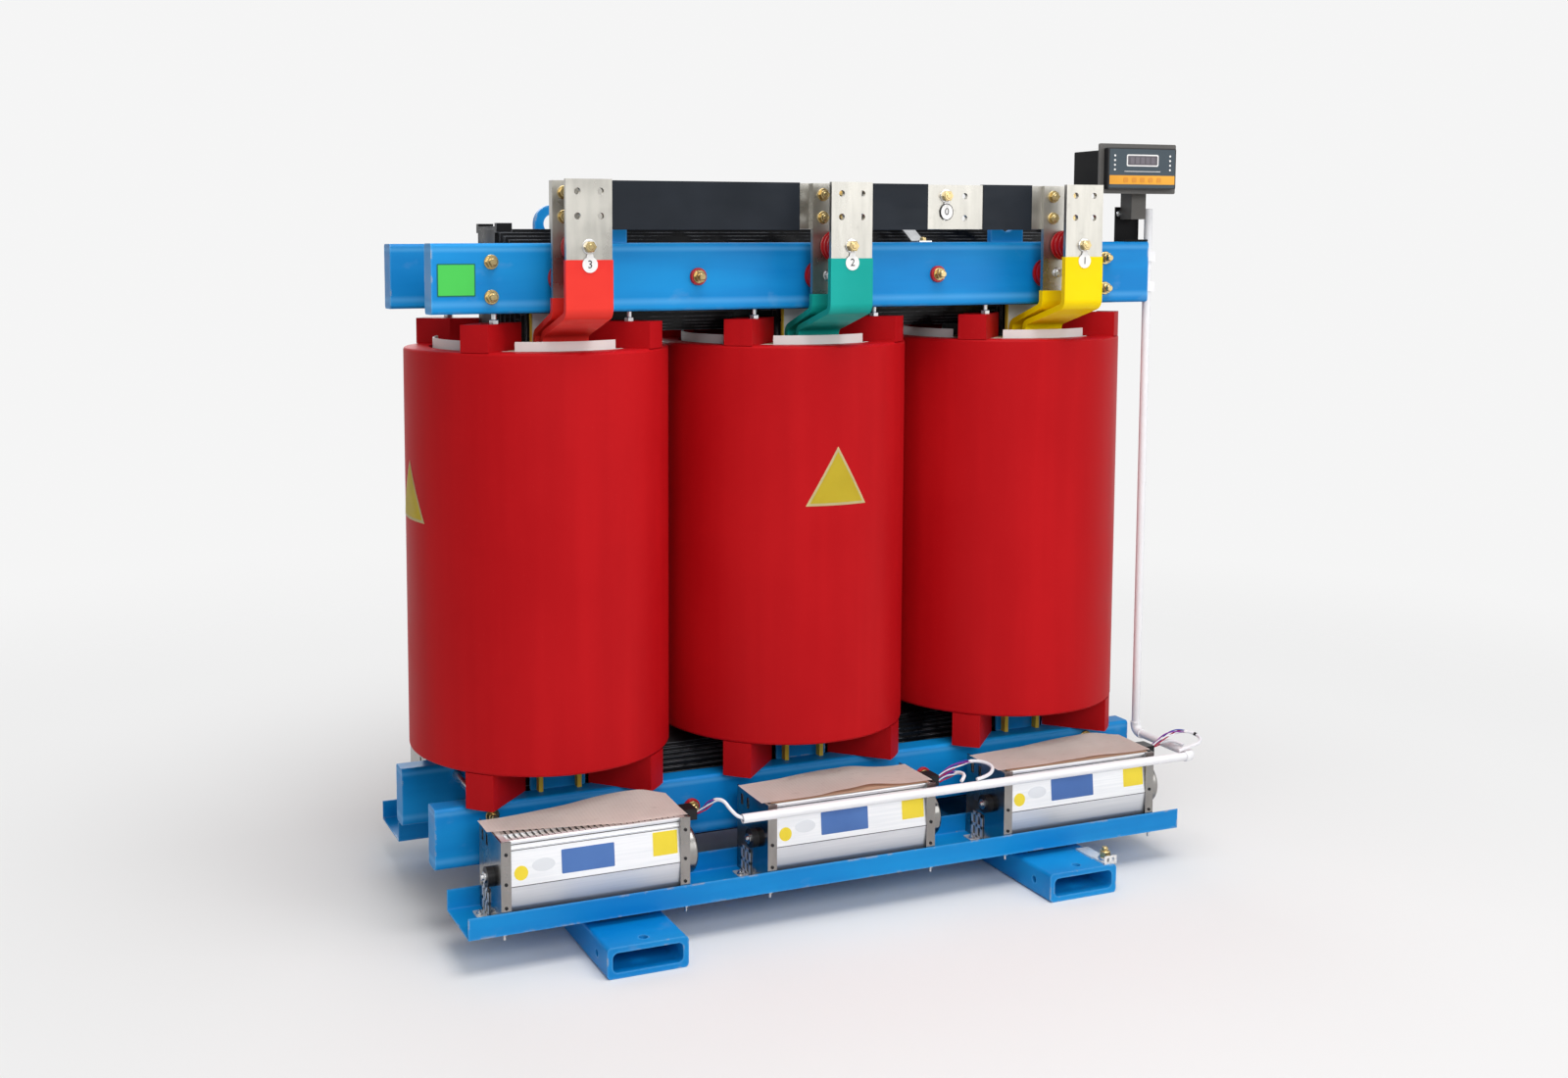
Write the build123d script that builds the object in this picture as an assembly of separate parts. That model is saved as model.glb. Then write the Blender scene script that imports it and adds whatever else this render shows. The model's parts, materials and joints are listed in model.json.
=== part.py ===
# Three-phase dry-type power transformer with cast coils and cooling fans.
# Millimetres, Z up, floor at zero, low-voltage side towards minus Y.
import os
from math import atan2, degrees, hypot, radians, sqrt, tan
from build123d import *

os.makedirs("parts", exist_ok=True)

# Layout
phases = (-1, 0, 1)
sides = (-1, 1)
coil_gap = 12
overrun = 5

# Base feet
foot_gauge = 1070
foot_width = 180
foot_height = 66
foot_toe = 107
foot_wall = 12
foot_edge_radius = 9
foot_inner_radius = 12
foot_hole_radius = 10
foot_hole_inset = 29
foot_side_hole_radius = 8
foot_side_hole_inset = 62
stool_width = 120
stool_wall = 8

# Fan trays
tray_gap = 43
tray_side_gap = 3
tray_inset = 13
tray_height = 46
tray_sheet = 3
tray_pad_height = 15
tray_pad_width = 110
tray_pad_depth = 110

# Clamps and packers
clamp_end = 128
clamp_depth = 55
clamp_edge_radius = 8
lower_clamp_height = 134.5
upper_clamp_height = 147
packer_depth = 35
packer_width = 90
tie_gap = 52.2
tie_radius = 9
upper_tie_shares = (0.735, 0.24)
lower_tie_shares = (0.8, 0.25)

# Lifting lugs
lug_inset = 100
lug_width = 88
lug_height = 90
lug_thickness = 16
lug_hole_radius = 22

# Laminated core
core_diameter = 262
core_width_shares = (0.87, 0.81, 0.75, 0.69, 0.62, 0.54, 0.46, 0.38)
yoke_clearance = 30
yoke_floor_gap = 42.06
yoke_cap_length = 36
yoke_cap_rise = 13
yoke_cap_sheet = 6

# Coils
lv_coil_gap = 5
lv_coil_wall = 72
barrier_gap = 19
barrier_wall = 4
coil_clearance = 9
coil_wall = 56
coil_height = 898
coil_rim_radius = 6
barrier_rise = 20
bottom_pad_height = 79
top_pad_height = 58
jack_height = 22
jack_radius = 6
jack_nut_radius = 11
jack_nut_height = 9
jack_share = 0.4
pad_angle = 44.2
pad_width = 66
pad_inset = 1
pad_clearance = 2
post_width = 10
post_depth = 22
post_spacing = 90
barrier_slot_width = 118
board_width = 103
board_thickness = 5
board_gap = 4

# High-voltage tap face at the rear of each coil
tap_face_width = 150
tap_face_end_gap = 194
tap_face_depth = 45
tap_face_radius = 12
tap_stud_radius = 7
tap_stud_length = 26
tap_column_spacing = 72
tap_row_spacing = 70
tap_rows = (-1, 0, 1)
terminal_radius = 16
terminal_length = 60
terminal_inset = 40
outer_terminal_step = 34
link_width = 26
link_thickness = 6

# Low-voltage bars
bar_width = 100
bar_thickness = 10
bar_rise = 129
bar_bend_radius = 18
sleeve_thickness = 1.5
sleeve_end_gap = 2
line_lead_inset = 12
riser_lead_inset = 6
slope_drop = 46
riser_bend_gap = 2
line_sleeve_rise = 112
riser_sleeve_rise = 33
terminal_hole_radius = 7
terminal_hole_spacing = 50
terminal_hole_inset = 25
neutral_width = 100
neutral_sleeve_gap = 78
neutral_terminal_x = 320
neutral_terminal_width = 146
insulator_radius = 34
insulator_core_radius = 25
insulator_rib_pitch = 15
insulator_rib_share = 0.62
clamp_insulator_length = 45
line_insulator_length = 76
insulator_step = 65
clamp_insulator_step = 10

# Fan units
fan_length = 420
fan_depth = 155
fan_height = 191
fan_sheet = 2
fan_flange = 22
fan_curve_radius = 46
fan_slot_width = 12
fan_slot_height = 24
fan_slot_shares = ((0.64, 0.17), (0.84, 0.17), (0.64, 0.86), (0.84, 0.86))
fan_outline_shares = ((0.06, 0.985), (0.0, 0.49), (0.06, 0.05), (0.94, 0.05), (1.0, 0.49), (0.94, 0.985))
fan_inlet_shares = (0.16, 0.46)
fan_axis_shares = (0.39, 0.52)
rotor_radius = 46
rotor_end_gap = 12
rotor_disc = 4
rotor_shaft_radius = 9
motor_radius = 53
motor_length = 26
motor_edge_radius = 9
bearing_radius = 21
bearing_length = 15
grille_thickness = 6
grille_frame = 12
grille_slats = 3
grille_slat_width = 4
terminal_block_width = 34
terminal_block_depth = 40
terminal_block_height = 24
cover_overhang = 12
cover_depth = 132
cover_thickness = 4

# Temperature controller
controller_inset = 34
controller_setback = 19
controller_rise = 128.8
case_width = 196
case_depth = 110
case_height = 88
case_step = 32.4
case_reach = 50
bezel_width = 222
bezel_height = 118
bezel_depth = 5
bezel_edge_radius = 4
panel_width = 196
panel_height = 97
panel_depth = 17
case_edge_radius = 3
stand_width = 42
stand_height = 75
stand_wall = 3
bracket_width = 68
bracket_height = 84
bracket_sheet = 5
bracket_foot = 36

# Conduit
conduit_radius = 10
conduit_wall = 1.8
conduit_gap = 4
conduit_bend_radius = 20
elbow_radius = 12.5
conduit_setback = 21
conduit_front_gap = 12
conduit_drop = 13
conduit_rise = 80
conduit_left_reach = 281
clip_width = 24
clip_wall = 3
clip_shares = (0.25, 0.75)

# Fan leads
lead_radius = 4
lead_run_share = 0.45
lead_routes = {
    "fan_lead_left": (
        (-357, -335, 263), (-343, -342, 272), (-332, -358, 296), (-317, -382, 303), (-306, -396, 283),
        (-286, -402, 263), (-260, -402, 260)),
    "fan_lead_middle_long": (
        (247, -331, 266), (270, -331, 279), (300, -328, 289), (335, -326, 294), (364, -340, 293),
        (373, -366, 288), (353, -390, 282), (322, -401, 278), (306, -402, 276.6)),
    "fan_lead_middle_short": (
        (247, -337, 258), (265, -340, 271), (285, -352, 281), (289, -375, 284), (278, -393, 282),
        (266, -401, 277)),
    "fan_lead_right_long": (
        (851, -331, 268), (871, -333, 285), (898, -335, 298), (928, -340, 303), (950, -356, 300),
        (954, -380, 294), (936, -398, 288), (910, -402, 285), (887, -402, 281), (870, -402, 276.8)),
    "fan_lead_right_short": (
        (851, -320, 262), (868, -322, 272), (888, -331, 279), (905, -347, 282), (912, -368, 277)),
}

# Earth terminal
earth_width = 34
earth_length = 60
earth_thickness = 4
earth_inset = 46

# Places worked out from the sizes above
core_radius = core_diameter / 2
yoke_width = core_diameter * core_width_shares[0]
tray_base = foot_height + tray_pad_height
stool_height = yoke_floor_gap + yoke_width + yoke_clearance - bottom_pad_height - lower_clamp_height
lower_clamp_base = foot_height + stool_height
lower_clamp_top = lower_clamp_base + lower_clamp_height
coil_base = lower_clamp_top + bottom_pad_height
coil_top = coil_base + coil_height
pad_top = coil_top + top_pad_height
upper_clamp_base = pad_top + jack_height
upper_clamp_top = upper_clamp_base + upper_clamp_height
lv_coil_inner_radius = core_radius + lv_coil_gap
lv_coil_radius = lv_coil_inner_radius + lv_coil_wall
barrier_radius = lv_coil_radius + barrier_gap + barrier_wall
coil_inner_radius = barrier_radius + coil_clearance
coil_radius = coil_inner_radius + coil_wall
phase_pitch = 2 * coil_radius + coil_gap
yoke_half = core_radius * sqrt(1 - core_width_shares[-1] ** 2)
lower_clamp_face = yoke_half + clamp_depth
upper_clamp_inner = yoke_half + packer_depth
upper_clamp_face = upper_clamp_inner + clamp_depth
lower_yoke_middle = coil_base - yoke_clearance - yoke_width / 2
upper_yoke_middle = coil_top + yoke_clearance + yoke_width / 2
pad_limit = yoke_half + pad_clearance
tie_x = phase_pitch + yoke_width / 2 + tie_gap
clamp_length = 2 * (tie_x + clamp_end)
lug_x = phase_pitch - lug_inset
tray_length = clamp_length - 2 * tray_inset
tray_depth = fan_depth + 2 * (tray_sheet + tray_side_gap)
tray_rear = lower_clamp_face + tray_gap
tray_front = tray_rear + tray_depth
foot_length = 2 * (tray_front + foot_toe)
fan_base = tray_base + tray_sheet
fan_top = fan_base + fan_height
fan_front = tray_front - (tray_depth - fan_depth) / 2
bar_top = upper_clamp_top + bar_rise
riser_offset = upper_clamp_face + clamp_insulator_length + bar_thickness / 2
line_bar_offset = riser_offset + bar_thickness + line_insulator_length
line_bar_inner_offset = lv_coil_radius - line_lead_inset
riser_inner_offset = lv_coil_inner_radius + riser_lead_inset
lead_level = upper_clamp_base - slope_drop
tap_face_height = coil_height - 2 * tap_face_end_gap
terminal_rise = tap_face_height / 2 - terminal_inset
controller_x = clamp_length / 2 - controller_inset
controller_y = upper_clamp_face - controller_setback
controller_foot_z = upper_clamp_top + controller_rise
conduit_rear_y = upper_clamp_face - conduit_setback
conduit_front_y = fan_front + conduit_front_gap + conduit_radius
conduit_level = fan_top - conduit_drop
conduit_top = upper_clamp_top + conduit_rise

pieces = {}


def block(x_low, x_high, y_low, y_high, z_low, z_high):
    corner = (Align.MIN, Align.MIN, Align.MIN)
    body = Box(x_high - x_low, y_high - y_low, z_high - z_low, align=corner)
    return Pos(x_low, y_low, z_low) * body


def rod(start, direction, radius, length):
    align = (Align.CENTER, Align.CENTER, Align.MIN)
    return Plane(start, z_dir=direction) * Cylinder(radius, length, align=align)


def ring(outer, inner, base, height):
    align = (Align.CENTER, Align.CENTER, Align.MIN)
    bore = Pos(0, 0, -overrun) * Cylinder(inner, height + 2 * overrun, align=align)
    return Pos(0, 0, base) * (Cylinder(outer, height, align=align) - bore)


def along_x(outline, x_low, x_high):
    face = Plane.YZ.offset(x_low) * make_face(Polyline(*outline, close=True))
    return extrude(face, amount=x_high - x_low)


def both_sides(body):
    return [body, mirror(body, about=Plane.XZ)]


def at_phases(body):
    return [Pos(number * phase_pitch, 0, 0) * body for number in phases]


def keep(name, bodies):
    pieces[name] = bodies if isinstance(bodies, list) else [bodies]


# Base feet: open box sections that run from front to rear
def foot(side):
    middle = side * foot_gauge / 2
    reach = foot_length / 2
    section = RectangleRounded(foot_width, foot_height, foot_edge_radius) - RectangleRounded(
        foot_width - 2 * foot_wall, foot_height - 2 * foot_wall, foot_inner_radius)
    body = extrude(Plane.XZ.offset(-reach) * section, amount=foot_length)
    body = Pos(middle, 0, foot_height / 2) * body
    for end in sides:
        y = end * (reach - foot_hole_inset)
        body = body - rod((middle, y, foot_height / 2), (0, 0, 1), foot_hole_radius, foot_height)
        y = end * (reach - foot_side_hole_inset)
        body = body - rod((middle, y, foot_height / 2), (-1, 0, 0), foot_side_hole_radius, foot_width)
    return body


keep("base_foot_left", foot(-1))
keep("base_foot_right", foot(1))


def stool(middle):
    half = stool_width / 2
    top = lower_clamp_base
    body = block(middle - half, middle + half, -lower_clamp_face, -yoke_half, foot_height, top)
    hollow = block(
        middle - half + stool_wall, middle + half - stool_wall,
        -lower_clamp_face - overrun, -yoke_half + overrun, foot_height + stool_wall, top - stool_wall)
    return body - hollow


stools = []
for side in sides:
    stools = stools + both_sides(stool(side * foot_gauge / 2))
keep("clamp_stools", stools)

# Fan trays: shallow channels open at the top, on pads over the feet
tray_outline = (
    (-tray_front, tray_base), (-tray_rear, tray_base), (-tray_rear, tray_base + tray_height),
    (-tray_rear - tray_sheet, tray_base + tray_height), (-tray_rear - tray_sheet, tray_base + tray_sheet),
    (-tray_front + tray_sheet, tray_base + tray_sheet),
    (-tray_front + tray_sheet, tray_base + tray_height), (-tray_front, tray_base + tray_height))
tray = along_x(tray_outline, -tray_length / 2, tray_length / 2)
keep("fan_trays", both_sides(tray))
tray_middle = tray_front - tray_depth / 2
tray_pads = []
for side in sides:
    middle = side * foot_gauge / 2
    pad = block(
        middle - tray_pad_width / 2, middle + tray_pad_width / 2,
        -tray_middle - tray_pad_depth / 2, -tray_middle + tray_pad_depth / 2, foot_height, tray_base)
    tray_pads = tray_pads + both_sides(pad)
keep("tray_pads", tray_pads)


# Clamps: closed box beams with rounded long edges
def clamp(inner, base, height):
    body = block(-clamp_length / 2, clamp_length / 2, -inner - clamp_depth, -inner, base, base + height)
    return fillet(body.edges().filter_by(Axis.X), clamp_edge_radius)


lower_clamp = clamp(yoke_half, lower_clamp_base, lower_clamp_height)
upper_clamp = clamp(upper_clamp_inner, upper_clamp_base, upper_clamp_height)
keep("lower_front_clamp", lower_clamp)
keep("lower_rear_clamp", mirror(lower_clamp, about=Plane.XZ))
keep("upper_front_clamp", upper_clamp)
keep("upper_rear_clamp", mirror(upper_clamp, about=Plane.XZ))

packers = []
for number in phases:
    middle = number * phase_pitch
    packer = block(
        middle - packer_width / 2, middle + packer_width / 2, -upper_clamp_inner, -yoke_half,
        upper_clamp_base + clamp_edge_radius, upper_clamp_top - clamp_edge_radius)
    packers = packers + both_sides(packer)
keep("yoke_packers", packers)

ties = []
for side in sides:
    for share in upper_tie_shares:
        start = (side * tie_x, -upper_clamp_inner, upper_clamp_base + share * upper_clamp_height)
        ties.append(rod(start, (0, 1, 0), tie_radius, 2 * upper_clamp_inner))
    for share in lower_tie_shares:
        start = (side * tie_x, -yoke_half, lower_clamp_base + share * lower_clamp_height)
        ties.append(rod(start, (0, 1, 0), tie_radius, 2 * yoke_half))
keep("tie_rods", ties)


# Lifting lugs: arched eyes on the upper clamps
def lug(middle):
    half = lug_width / 2
    y_middle = -upper_clamp_inner - clamp_depth / 2
    y_low = y_middle - lug_thickness / 2
    eye = upper_clamp_top + lug_height - half
    plate = block(middle - half, middle + half, y_low, y_low + lug_thickness, upper_clamp_top, eye)
    plate = plate + rod((middle, y_low, eye), (0, 1, 0), half, lug_thickness)
    hole = rod((middle, y_low - overrun, eye), (0, 1, 0), lug_hole_radius, lug_thickness + 2 * overrun)
    return plate - hole


lugs = []
for side in sides:
    lugs = lugs + both_sides(lug(side * lug_x))
keep("lifting_lugs", lugs)

# Laminated core: packets of narrowing width make the stepped limbs and yokes
packets = []
inner = 0
for share in core_width_shares:
    outer = core_radius * sqrt(1 - share ** 2)
    packets.append((core_diameter * share, inner, outer))
    inner = outer


def packet_bands(inner, outer):
    return ((-outer, outer),) if inner == 0 else ((-outer, -inner), (inner, outer))


def limb():
    body = None
    for width, inner, outer in packets:
        for y_low, y_high in packet_bands(inner, outer):
            bar = block(
                -width / 2, width / 2, y_low, y_high,
                lower_yoke_middle + width / 2, upper_yoke_middle - width / 2)
            body = bar if body is None else body + bar
    return body


def yoke(middle):
    body = None
    for width, inner, outer in packets:
        reach = phase_pitch + width / 2
        for y_low, y_high in packet_bands(inner, outer):
            bar = block(-reach, reach, y_low, y_high, middle - width / 2, middle + width / 2)
            body = bar if body is None else body + bar
    return body


def yoke_cap(side):
    width, inner, outer = packets[1]
    top = upper_yoke_middle + width / 2
    end = side * (phase_pitch + packets[0][0] / 2)
    start = end - side * yoke_cap_length
    x_low, x_high = min(start, end), max(start, end)
    rise = (packets[0][0] - width) / 2
    body = block(x_low, x_high, -outer, -packets[0][2], top, top + rise + yoke_cap_rise)
    body = body + block(x_low, x_high, packets[0][2], outer, top, top + rise + yoke_cap_rise)
    return body + block(
        x_low, x_high, -outer, outer, top + rise, top + rise + yoke_cap_sheet)


keep("core_limbs", at_phases(limb()))
keep("core_yokes", [yoke(lower_yoke_middle), yoke(upper_yoke_middle)])
keep("yoke_end_caps", [yoke_cap(side) for side in sides])


# Cast coils with a tap face moulded on at the rear
def cast_coil():
    body = ring(coil_radius, coil_inner_radius, coil_base, coil_height)
    rims = body.edges().filter_by(GeomType.CIRCLE).sort_by(lambda edge: edge.radius)[-2:]
    return fillet(rims, coil_rim_radius)


def tap_face():
    half = tap_face_width / 2
    face = block(
        -half, half, 0, coil_radius + tap_face_depth,
        coil_base + tap_face_end_gap, coil_top - tap_face_end_gap)
    outer_edges = face.faces().sort_by(Axis.Y)[-1].edges()
    face = fillet(outer_edges, tap_face_radius)
    align = (Align.CENTER, Align.CENTER, Align.MIN)
    return face - Pos(0, 0, coil_base) * Cylinder(coil_radius, coil_height, align=align)


keep("cast_coils", at_phases(cast_coil()))
keep("tap_faces", at_phases(tap_face()))
keep("inner_coils", at_phases(ring(lv_coil_radius, lv_coil_inner_radius, coil_base, coil_height)))


# Resin support pads, four under and four over each coil, clear of the yokes and flush with the coil
def pads(base, height):
    found = []
    align = (Align.CENTER, Align.CENTER, Align.MIN)
    reach = Pos(0, 0, base) * Cylinder(coil_radius - pad_inset, height, align=align)
    for side_x in sides:
        arm = Pos(0, 0, base) * Rot(0, 0, side_x * pad_angle) * Box(
            pad_width, coil_radius, height, align=(Align.CENTER, Align.MAX, Align.MIN))
        room = block(-coil_radius, coil_radius, -coil_radius, -pad_limit, base, base + height)
        found = found + both_sides(arm & room & reach)
    return found


bottom_pads = pads(lower_clamp_top, bottom_pad_height)
top_pads = pads(coil_top, top_pad_height)
keep("bottom_pads", [piece for body in bottom_pads for piece in at_phases(body)])
keep("top_pads", [piece for body in top_pads for piece in at_phases(body)])

jack_y = -upper_clamp_inner - clamp_depth / 2
jack_x = -jack_y * tan(radians(pad_angle)) - pad_width * jack_share
jacks = []
for side in sides:
    stud = rod((side * jack_x, jack_y, pad_top), (0, 0, 1), jack_radius, jack_height)
    nut = rod((side * jack_x, jack_y, pad_top), (0, 0, 1), jack_nut_radius, jack_nut_height)
    jacks = jacks + both_sides(stud + nut)
keep("jack_bolts", [piece for body in jacks for piece in at_phases(body)])

posts = []
for side in sides:
    x = side * post_spacing / 2
    y = -pad_limit - post_depth / 2
    post = block(
        x - post_width / 2, x + post_width / 2, y - post_depth / 2, y + post_depth / 2,
        lower_clamp_top, coil_base)
    posts = posts + both_sides(post)
keep("support_posts", [piece for body in posts for piece in at_phases(body)])

# White barrier cylinders between the coils, cut away at the top where the pads pass
barrier = ring(barrier_radius, barrier_radius - barrier_wall, coil_base, coil_height + barrier_rise)
for side_x in sides:
    slot = Pos(0, 0, coil_top) * Rot(0, 0, side_x * pad_angle) * Box(
        barrier_slot_width, 2 * coil_radius, barrier_rise + overrun,
        align=(Align.CENTER, Align.CENTER, Align.MIN))
    barrier = barrier - slot
keep("coil_barriers", at_phases(barrier))

board_y = -riser_inner_offset + bar_thickness / 2 + sleeve_thickness + board_gap
board = block(
    -board_width / 2, board_width / 2, board_y, board_y + board_thickness,
    coil_top, upper_clamp_base - board_gap)
keep("lead_boards", at_phases(board))


# Low-voltage bars: flat bars that stand in front of the clamp and joggle back into the coil
def bar_path(offset, inner_offset, bend, top, end_gap):
    return FilletPolyline(
        (0, -offset, top), (0, -offset, bend), (0, -inner_offset, lead_level),
        (0, -inner_offset, coil_top + end_gap), radius=bar_bend_radius)


def swept_bar(path, width, thickness):
    plane = Plane(path @ 0, x_dir=(1, 0, 0), z_dir=path % 0)
    return sweep(plane * Rectangle(width, thickness), path=path)


def sleeve_for(bar, path):
    outer = swept_bar(path, bar_width + 2 * sleeve_thickness, bar_thickness + 2 * sleeve_thickness)
    return outer - bar


def hole_grid(x_middle, y_low, y_high, z_middle):
    holes = []
    for side_x in sides:
        for side_z in sides:
            start = (
                x_middle + side_x * terminal_hole_spacing / 2, y_low - overrun,
                z_middle + side_z * terminal_hole_spacing / 2)
            holes.append(rod(start, (0, 1, 0), terminal_hole_radius, y_high - y_low + 2 * overrun))
    return holes


line_bend = upper_clamp_base
riser_bend = upper_clamp_base - riser_bend_gap
line_path = bar_path(line_bar_offset, line_bar_inner_offset, line_bend, bar_top, 0)
line_bar = swept_bar(line_path, bar_width, bar_thickness)
line_sleeve_path = bar_path(
    line_bar_offset, line_bar_inner_offset, line_bend, line_bend + line_sleeve_rise, sleeve_end_gap)
line_sleeve = sleeve_for(line_bar, line_sleeve_path)
grid_z = bar_top - terminal_hole_inset - terminal_hole_spacing / 2
for hole in hole_grid(0, -line_bar_offset - bar_thickness / 2, -line_bar_offset + bar_thickness / 2, grid_z):
    line_bar = line_bar - hole
riser_path = bar_path(riser_offset, riser_inner_offset, riser_bend, bar_top, 0)
riser = swept_bar(riser_path, bar_width, bar_thickness)
riser_sleeve_path = bar_path(
    riser_offset, riser_inner_offset, riser_bend, upper_clamp_base + riser_sleeve_rise, sleeve_end_gap)
riser_sleeve = sleeve_for(riser, riser_sleeve_path)
keep("line_bars", at_phases(line_bar))
keep("neutral_risers", at_phases(riser))
sleeve_names = ("bar_sleeves_left", "bar_sleeves_middle", "bar_sleeves_right")
for name, line_body, riser_body in zip(sleeve_names, at_phases(line_sleeve), at_phases(riser_sleeve)):
    keep(name, [line_body, riser_body])

# Neutral bar behind the risers, sleeved between the phases
neutral_reach = phase_pitch + bar_width / 2
neutral_front = -riser_offset + bar_thickness / 2
neutral_rear = neutral_front + bar_thickness
neutral_bar = block(-neutral_reach, neutral_reach, neutral_front, neutral_rear, bar_top - neutral_width, bar_top)
neutral_sleeves = []
terminal_half = neutral_terminal_width / 2
sleeve_runs = (
    (-phase_pitch + neutral_sleeve_gap, -neutral_sleeve_gap),
    (neutral_sleeve_gap, neutral_terminal_x - terminal_half),
    (neutral_terminal_x + terminal_half, phase_pitch - neutral_sleeve_gap))
for x_low, x_high in sleeve_runs:
    outer = block(
        x_low, x_high, neutral_front - sleeve_thickness, neutral_rear + sleeve_thickness,
        bar_top - neutral_width - sleeve_thickness, bar_top + sleeve_thickness)
    neutral_sleeves.append(outer - neutral_bar)
for hole in hole_grid(neutral_terminal_x, neutral_front, neutral_rear, bar_top - neutral_width / 2):
    neutral_bar = neutral_bar - hole
keep("neutral_bar", neutral_bar)
keep("neutral_sleeves", neutral_sleeves)


# Ribbed post insulators
def insulator(y_front, y_rear, z):
    length = y_rear - y_front
    ribs = int(length // insulator_rib_pitch)
    pitch = length / ribs
    outline = [(0, 0), (insulator_core_radius, 0)]
    for number in range(ribs):
        low = number * pitch + pitch * (1 - insulator_rib_share) / 2
        high = low + pitch * insulator_rib_share
        lip = (high - low) / 4
        outline.append((insulator_core_radius, low))
        outline.append((insulator_radius, low + lip))
        outline.append((insulator_radius, high - lip))
        outline.append((insulator_core_radius, high))
    outline = outline + [(insulator_core_radius, length), (0, length)]
    face = make_face(Polyline(*outline, close=True))
    return Pos(0, y_front, z) * revolve(face, axis=Axis.Y)


line_back = -line_bar_offset + bar_thickness / 2
riser_front = -riser_offset - bar_thickness / 2
riser_back = -riser_offset + bar_thickness / 2
insulator_z = (upper_clamp_base + upper_clamp_top) / 2
insulators = at_phases(insulator(line_back, riser_front, insulator_z + insulator_step))
clamp_insulator = Pos(-clamp_insulator_step, 0, 0) * insulator(riser_back, -upper_clamp_face, insulator_z)
insulators = insulators + at_phases(clamp_insulator)
keep("post_insulators", insulators)

# High-voltage studs, links and delta bars at the rear
tap_plane = coil_radius + tap_face_depth
tap_middle = coil_base + coil_height / 2
studs = []
links = []
for number in phases:
    x = number * phase_pitch
    for row in tap_rows:
        for side in sides:
            start = (x + side * tap_column_spacing / 2, tap_plane, tap_middle + row * tap_row_spacing)
            studs.append(rod(start, (0, 1, 0), tap_stud_radius, tap_stud_length))
    half = tap_column_spacing / 2 + link_width / 2
    links.append(block(
        x - half, x + half, tap_plane + tap_stud_length, tap_plane + tap_stud_length + link_thickness,
        tap_middle - link_width / 2, tap_middle + link_width / 2))


def delta_bar(start_x, start_z, end_x, end_z, y):
    length = hypot(end_x - start_x, end_z - start_z) + link_width
    angle = degrees(atan2(end_z - start_z, end_x - start_x))
    align = (Align.CENTER, Align.MIN, Align.CENTER)
    body = Rot(0, -angle, 0) * Box(length, link_thickness, link_width, align=align)
    return Pos((start_x + end_x) / 2, y, (start_z + end_z) / 2) * body


high_z = tap_middle + terminal_rise
low_z = tap_middle - terminal_rise
terminals = []
delta_bars = []
near_y = tap_plane + terminal_length
far_y = near_y + outer_terminal_step
for number in phases:
    x = number * phase_pitch
    high_length = far_y - tap_plane if number == phases[-1] else terminal_length
    low_length = far_y - tap_plane if number == phases[0] else terminal_length
    terminals.append(rod((x, tap_plane, high_z), (0, 1, 0), terminal_radius, high_length))
    terminals.append(rod((x, tap_plane, low_z), (0, 1, 0), terminal_radius, low_length))
for number in phases[:-1]:
    x = number * phase_pitch
    delta_bars.append(delta_bar(x, high_z, x + phase_pitch, low_z, near_y))
delta_bars.append(delta_bar(phase_pitch, high_z, -phase_pitch, low_z, far_y))
keep("high_voltage_studs", studs + terminals)
keep("high_voltage_links", links + delta_bars)

# Cross-flow fan units
half_fan = fan_length / 2


def fan_points():
    return [(-fan_front + u * fan_depth, fan_base + w * fan_height) for u, w in fan_outline_shares]


def fan_housing():
    outline = make_face(Polyline(*fan_points(), close=True))
    lower = outline.vertices().sort_by(Axis.Y)[:2]
    outline = fillet(lower, fan_curve_radius)
    inside = offset(outline, amount=-fan_sheet)
    reach = half_fan - fan_sheet
    shell = extrude(Plane.YZ.offset(-reach) * (outline - inside), amount=2 * reach)
    first, last = fan_points()[0], fan_points()[-1]
    outlet = block(
        -reach - overrun, reach + overrun, first[0] + fan_sheet, last[0] - fan_sheet,
        first[1] - 2 * fan_sheet, first[1] + overrun)
    low, high = fan_inlet_shares
    inlet = block(
        -reach + grille_frame, reach - grille_frame, -fan_front + fan_depth / 2, -fan_front + fan_depth + overrun,
        fan_base + low * fan_height, fan_base + high * fan_height)
    return shell - outlet - inlet


def fan_end(side):
    outer = side * half_fan
    inner = outer - side * fan_sheet
    x_low, x_high = min(outer, inner), max(outer, inner)
    y_front = -fan_front - fan_sheet
    plate = block(x_low, x_high, y_front, -fan_front + fan_depth, fan_base, fan_top)
    lip_end = outer - side * fan_flange
    lip = block(min(lip_end, outer), max(lip_end, outer), y_front, -fan_front, fan_base, fan_top)
    axis_y = -fan_front + fan_axis_shares[0] * fan_depth
    axis_z = fan_base + fan_axis_shares[1] * fan_height
    hole = rod(
        (x_low - overrun, axis_y, axis_z), (1, 0, 0), rotor_shaft_radius + fan_sheet, fan_sheet + 2 * overrun)
    body = plate + lip - hole
    for depth_share, height_share in fan_slot_shares:
        y = -fan_front + depth_share * fan_depth
        z = fan_base + height_share * fan_height
        body = body - block(
            x_low - overrun, x_high + overrun, y - fan_slot_width / 2, y + fan_slot_width / 2,
            z - fan_slot_height / 2, z + fan_slot_height / 2)
    return body


def fan_rotor():
    axis_y = -fan_front + fan_axis_shares[0] * fan_depth
    axis_z = fan_base + fan_axis_shares[1] * fan_height
    reach = half_fan - rotor_end_gap
    body = rod((-half_fan, axis_y, axis_z), (1, 0, 0), rotor_shaft_radius, fan_length)
    for side in sides:
        x = side * reach - rotor_disc / 2
        body = body + rod((x, axis_y, axis_z), (1, 0, 0), rotor_radius, rotor_disc)
    return body


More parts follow.
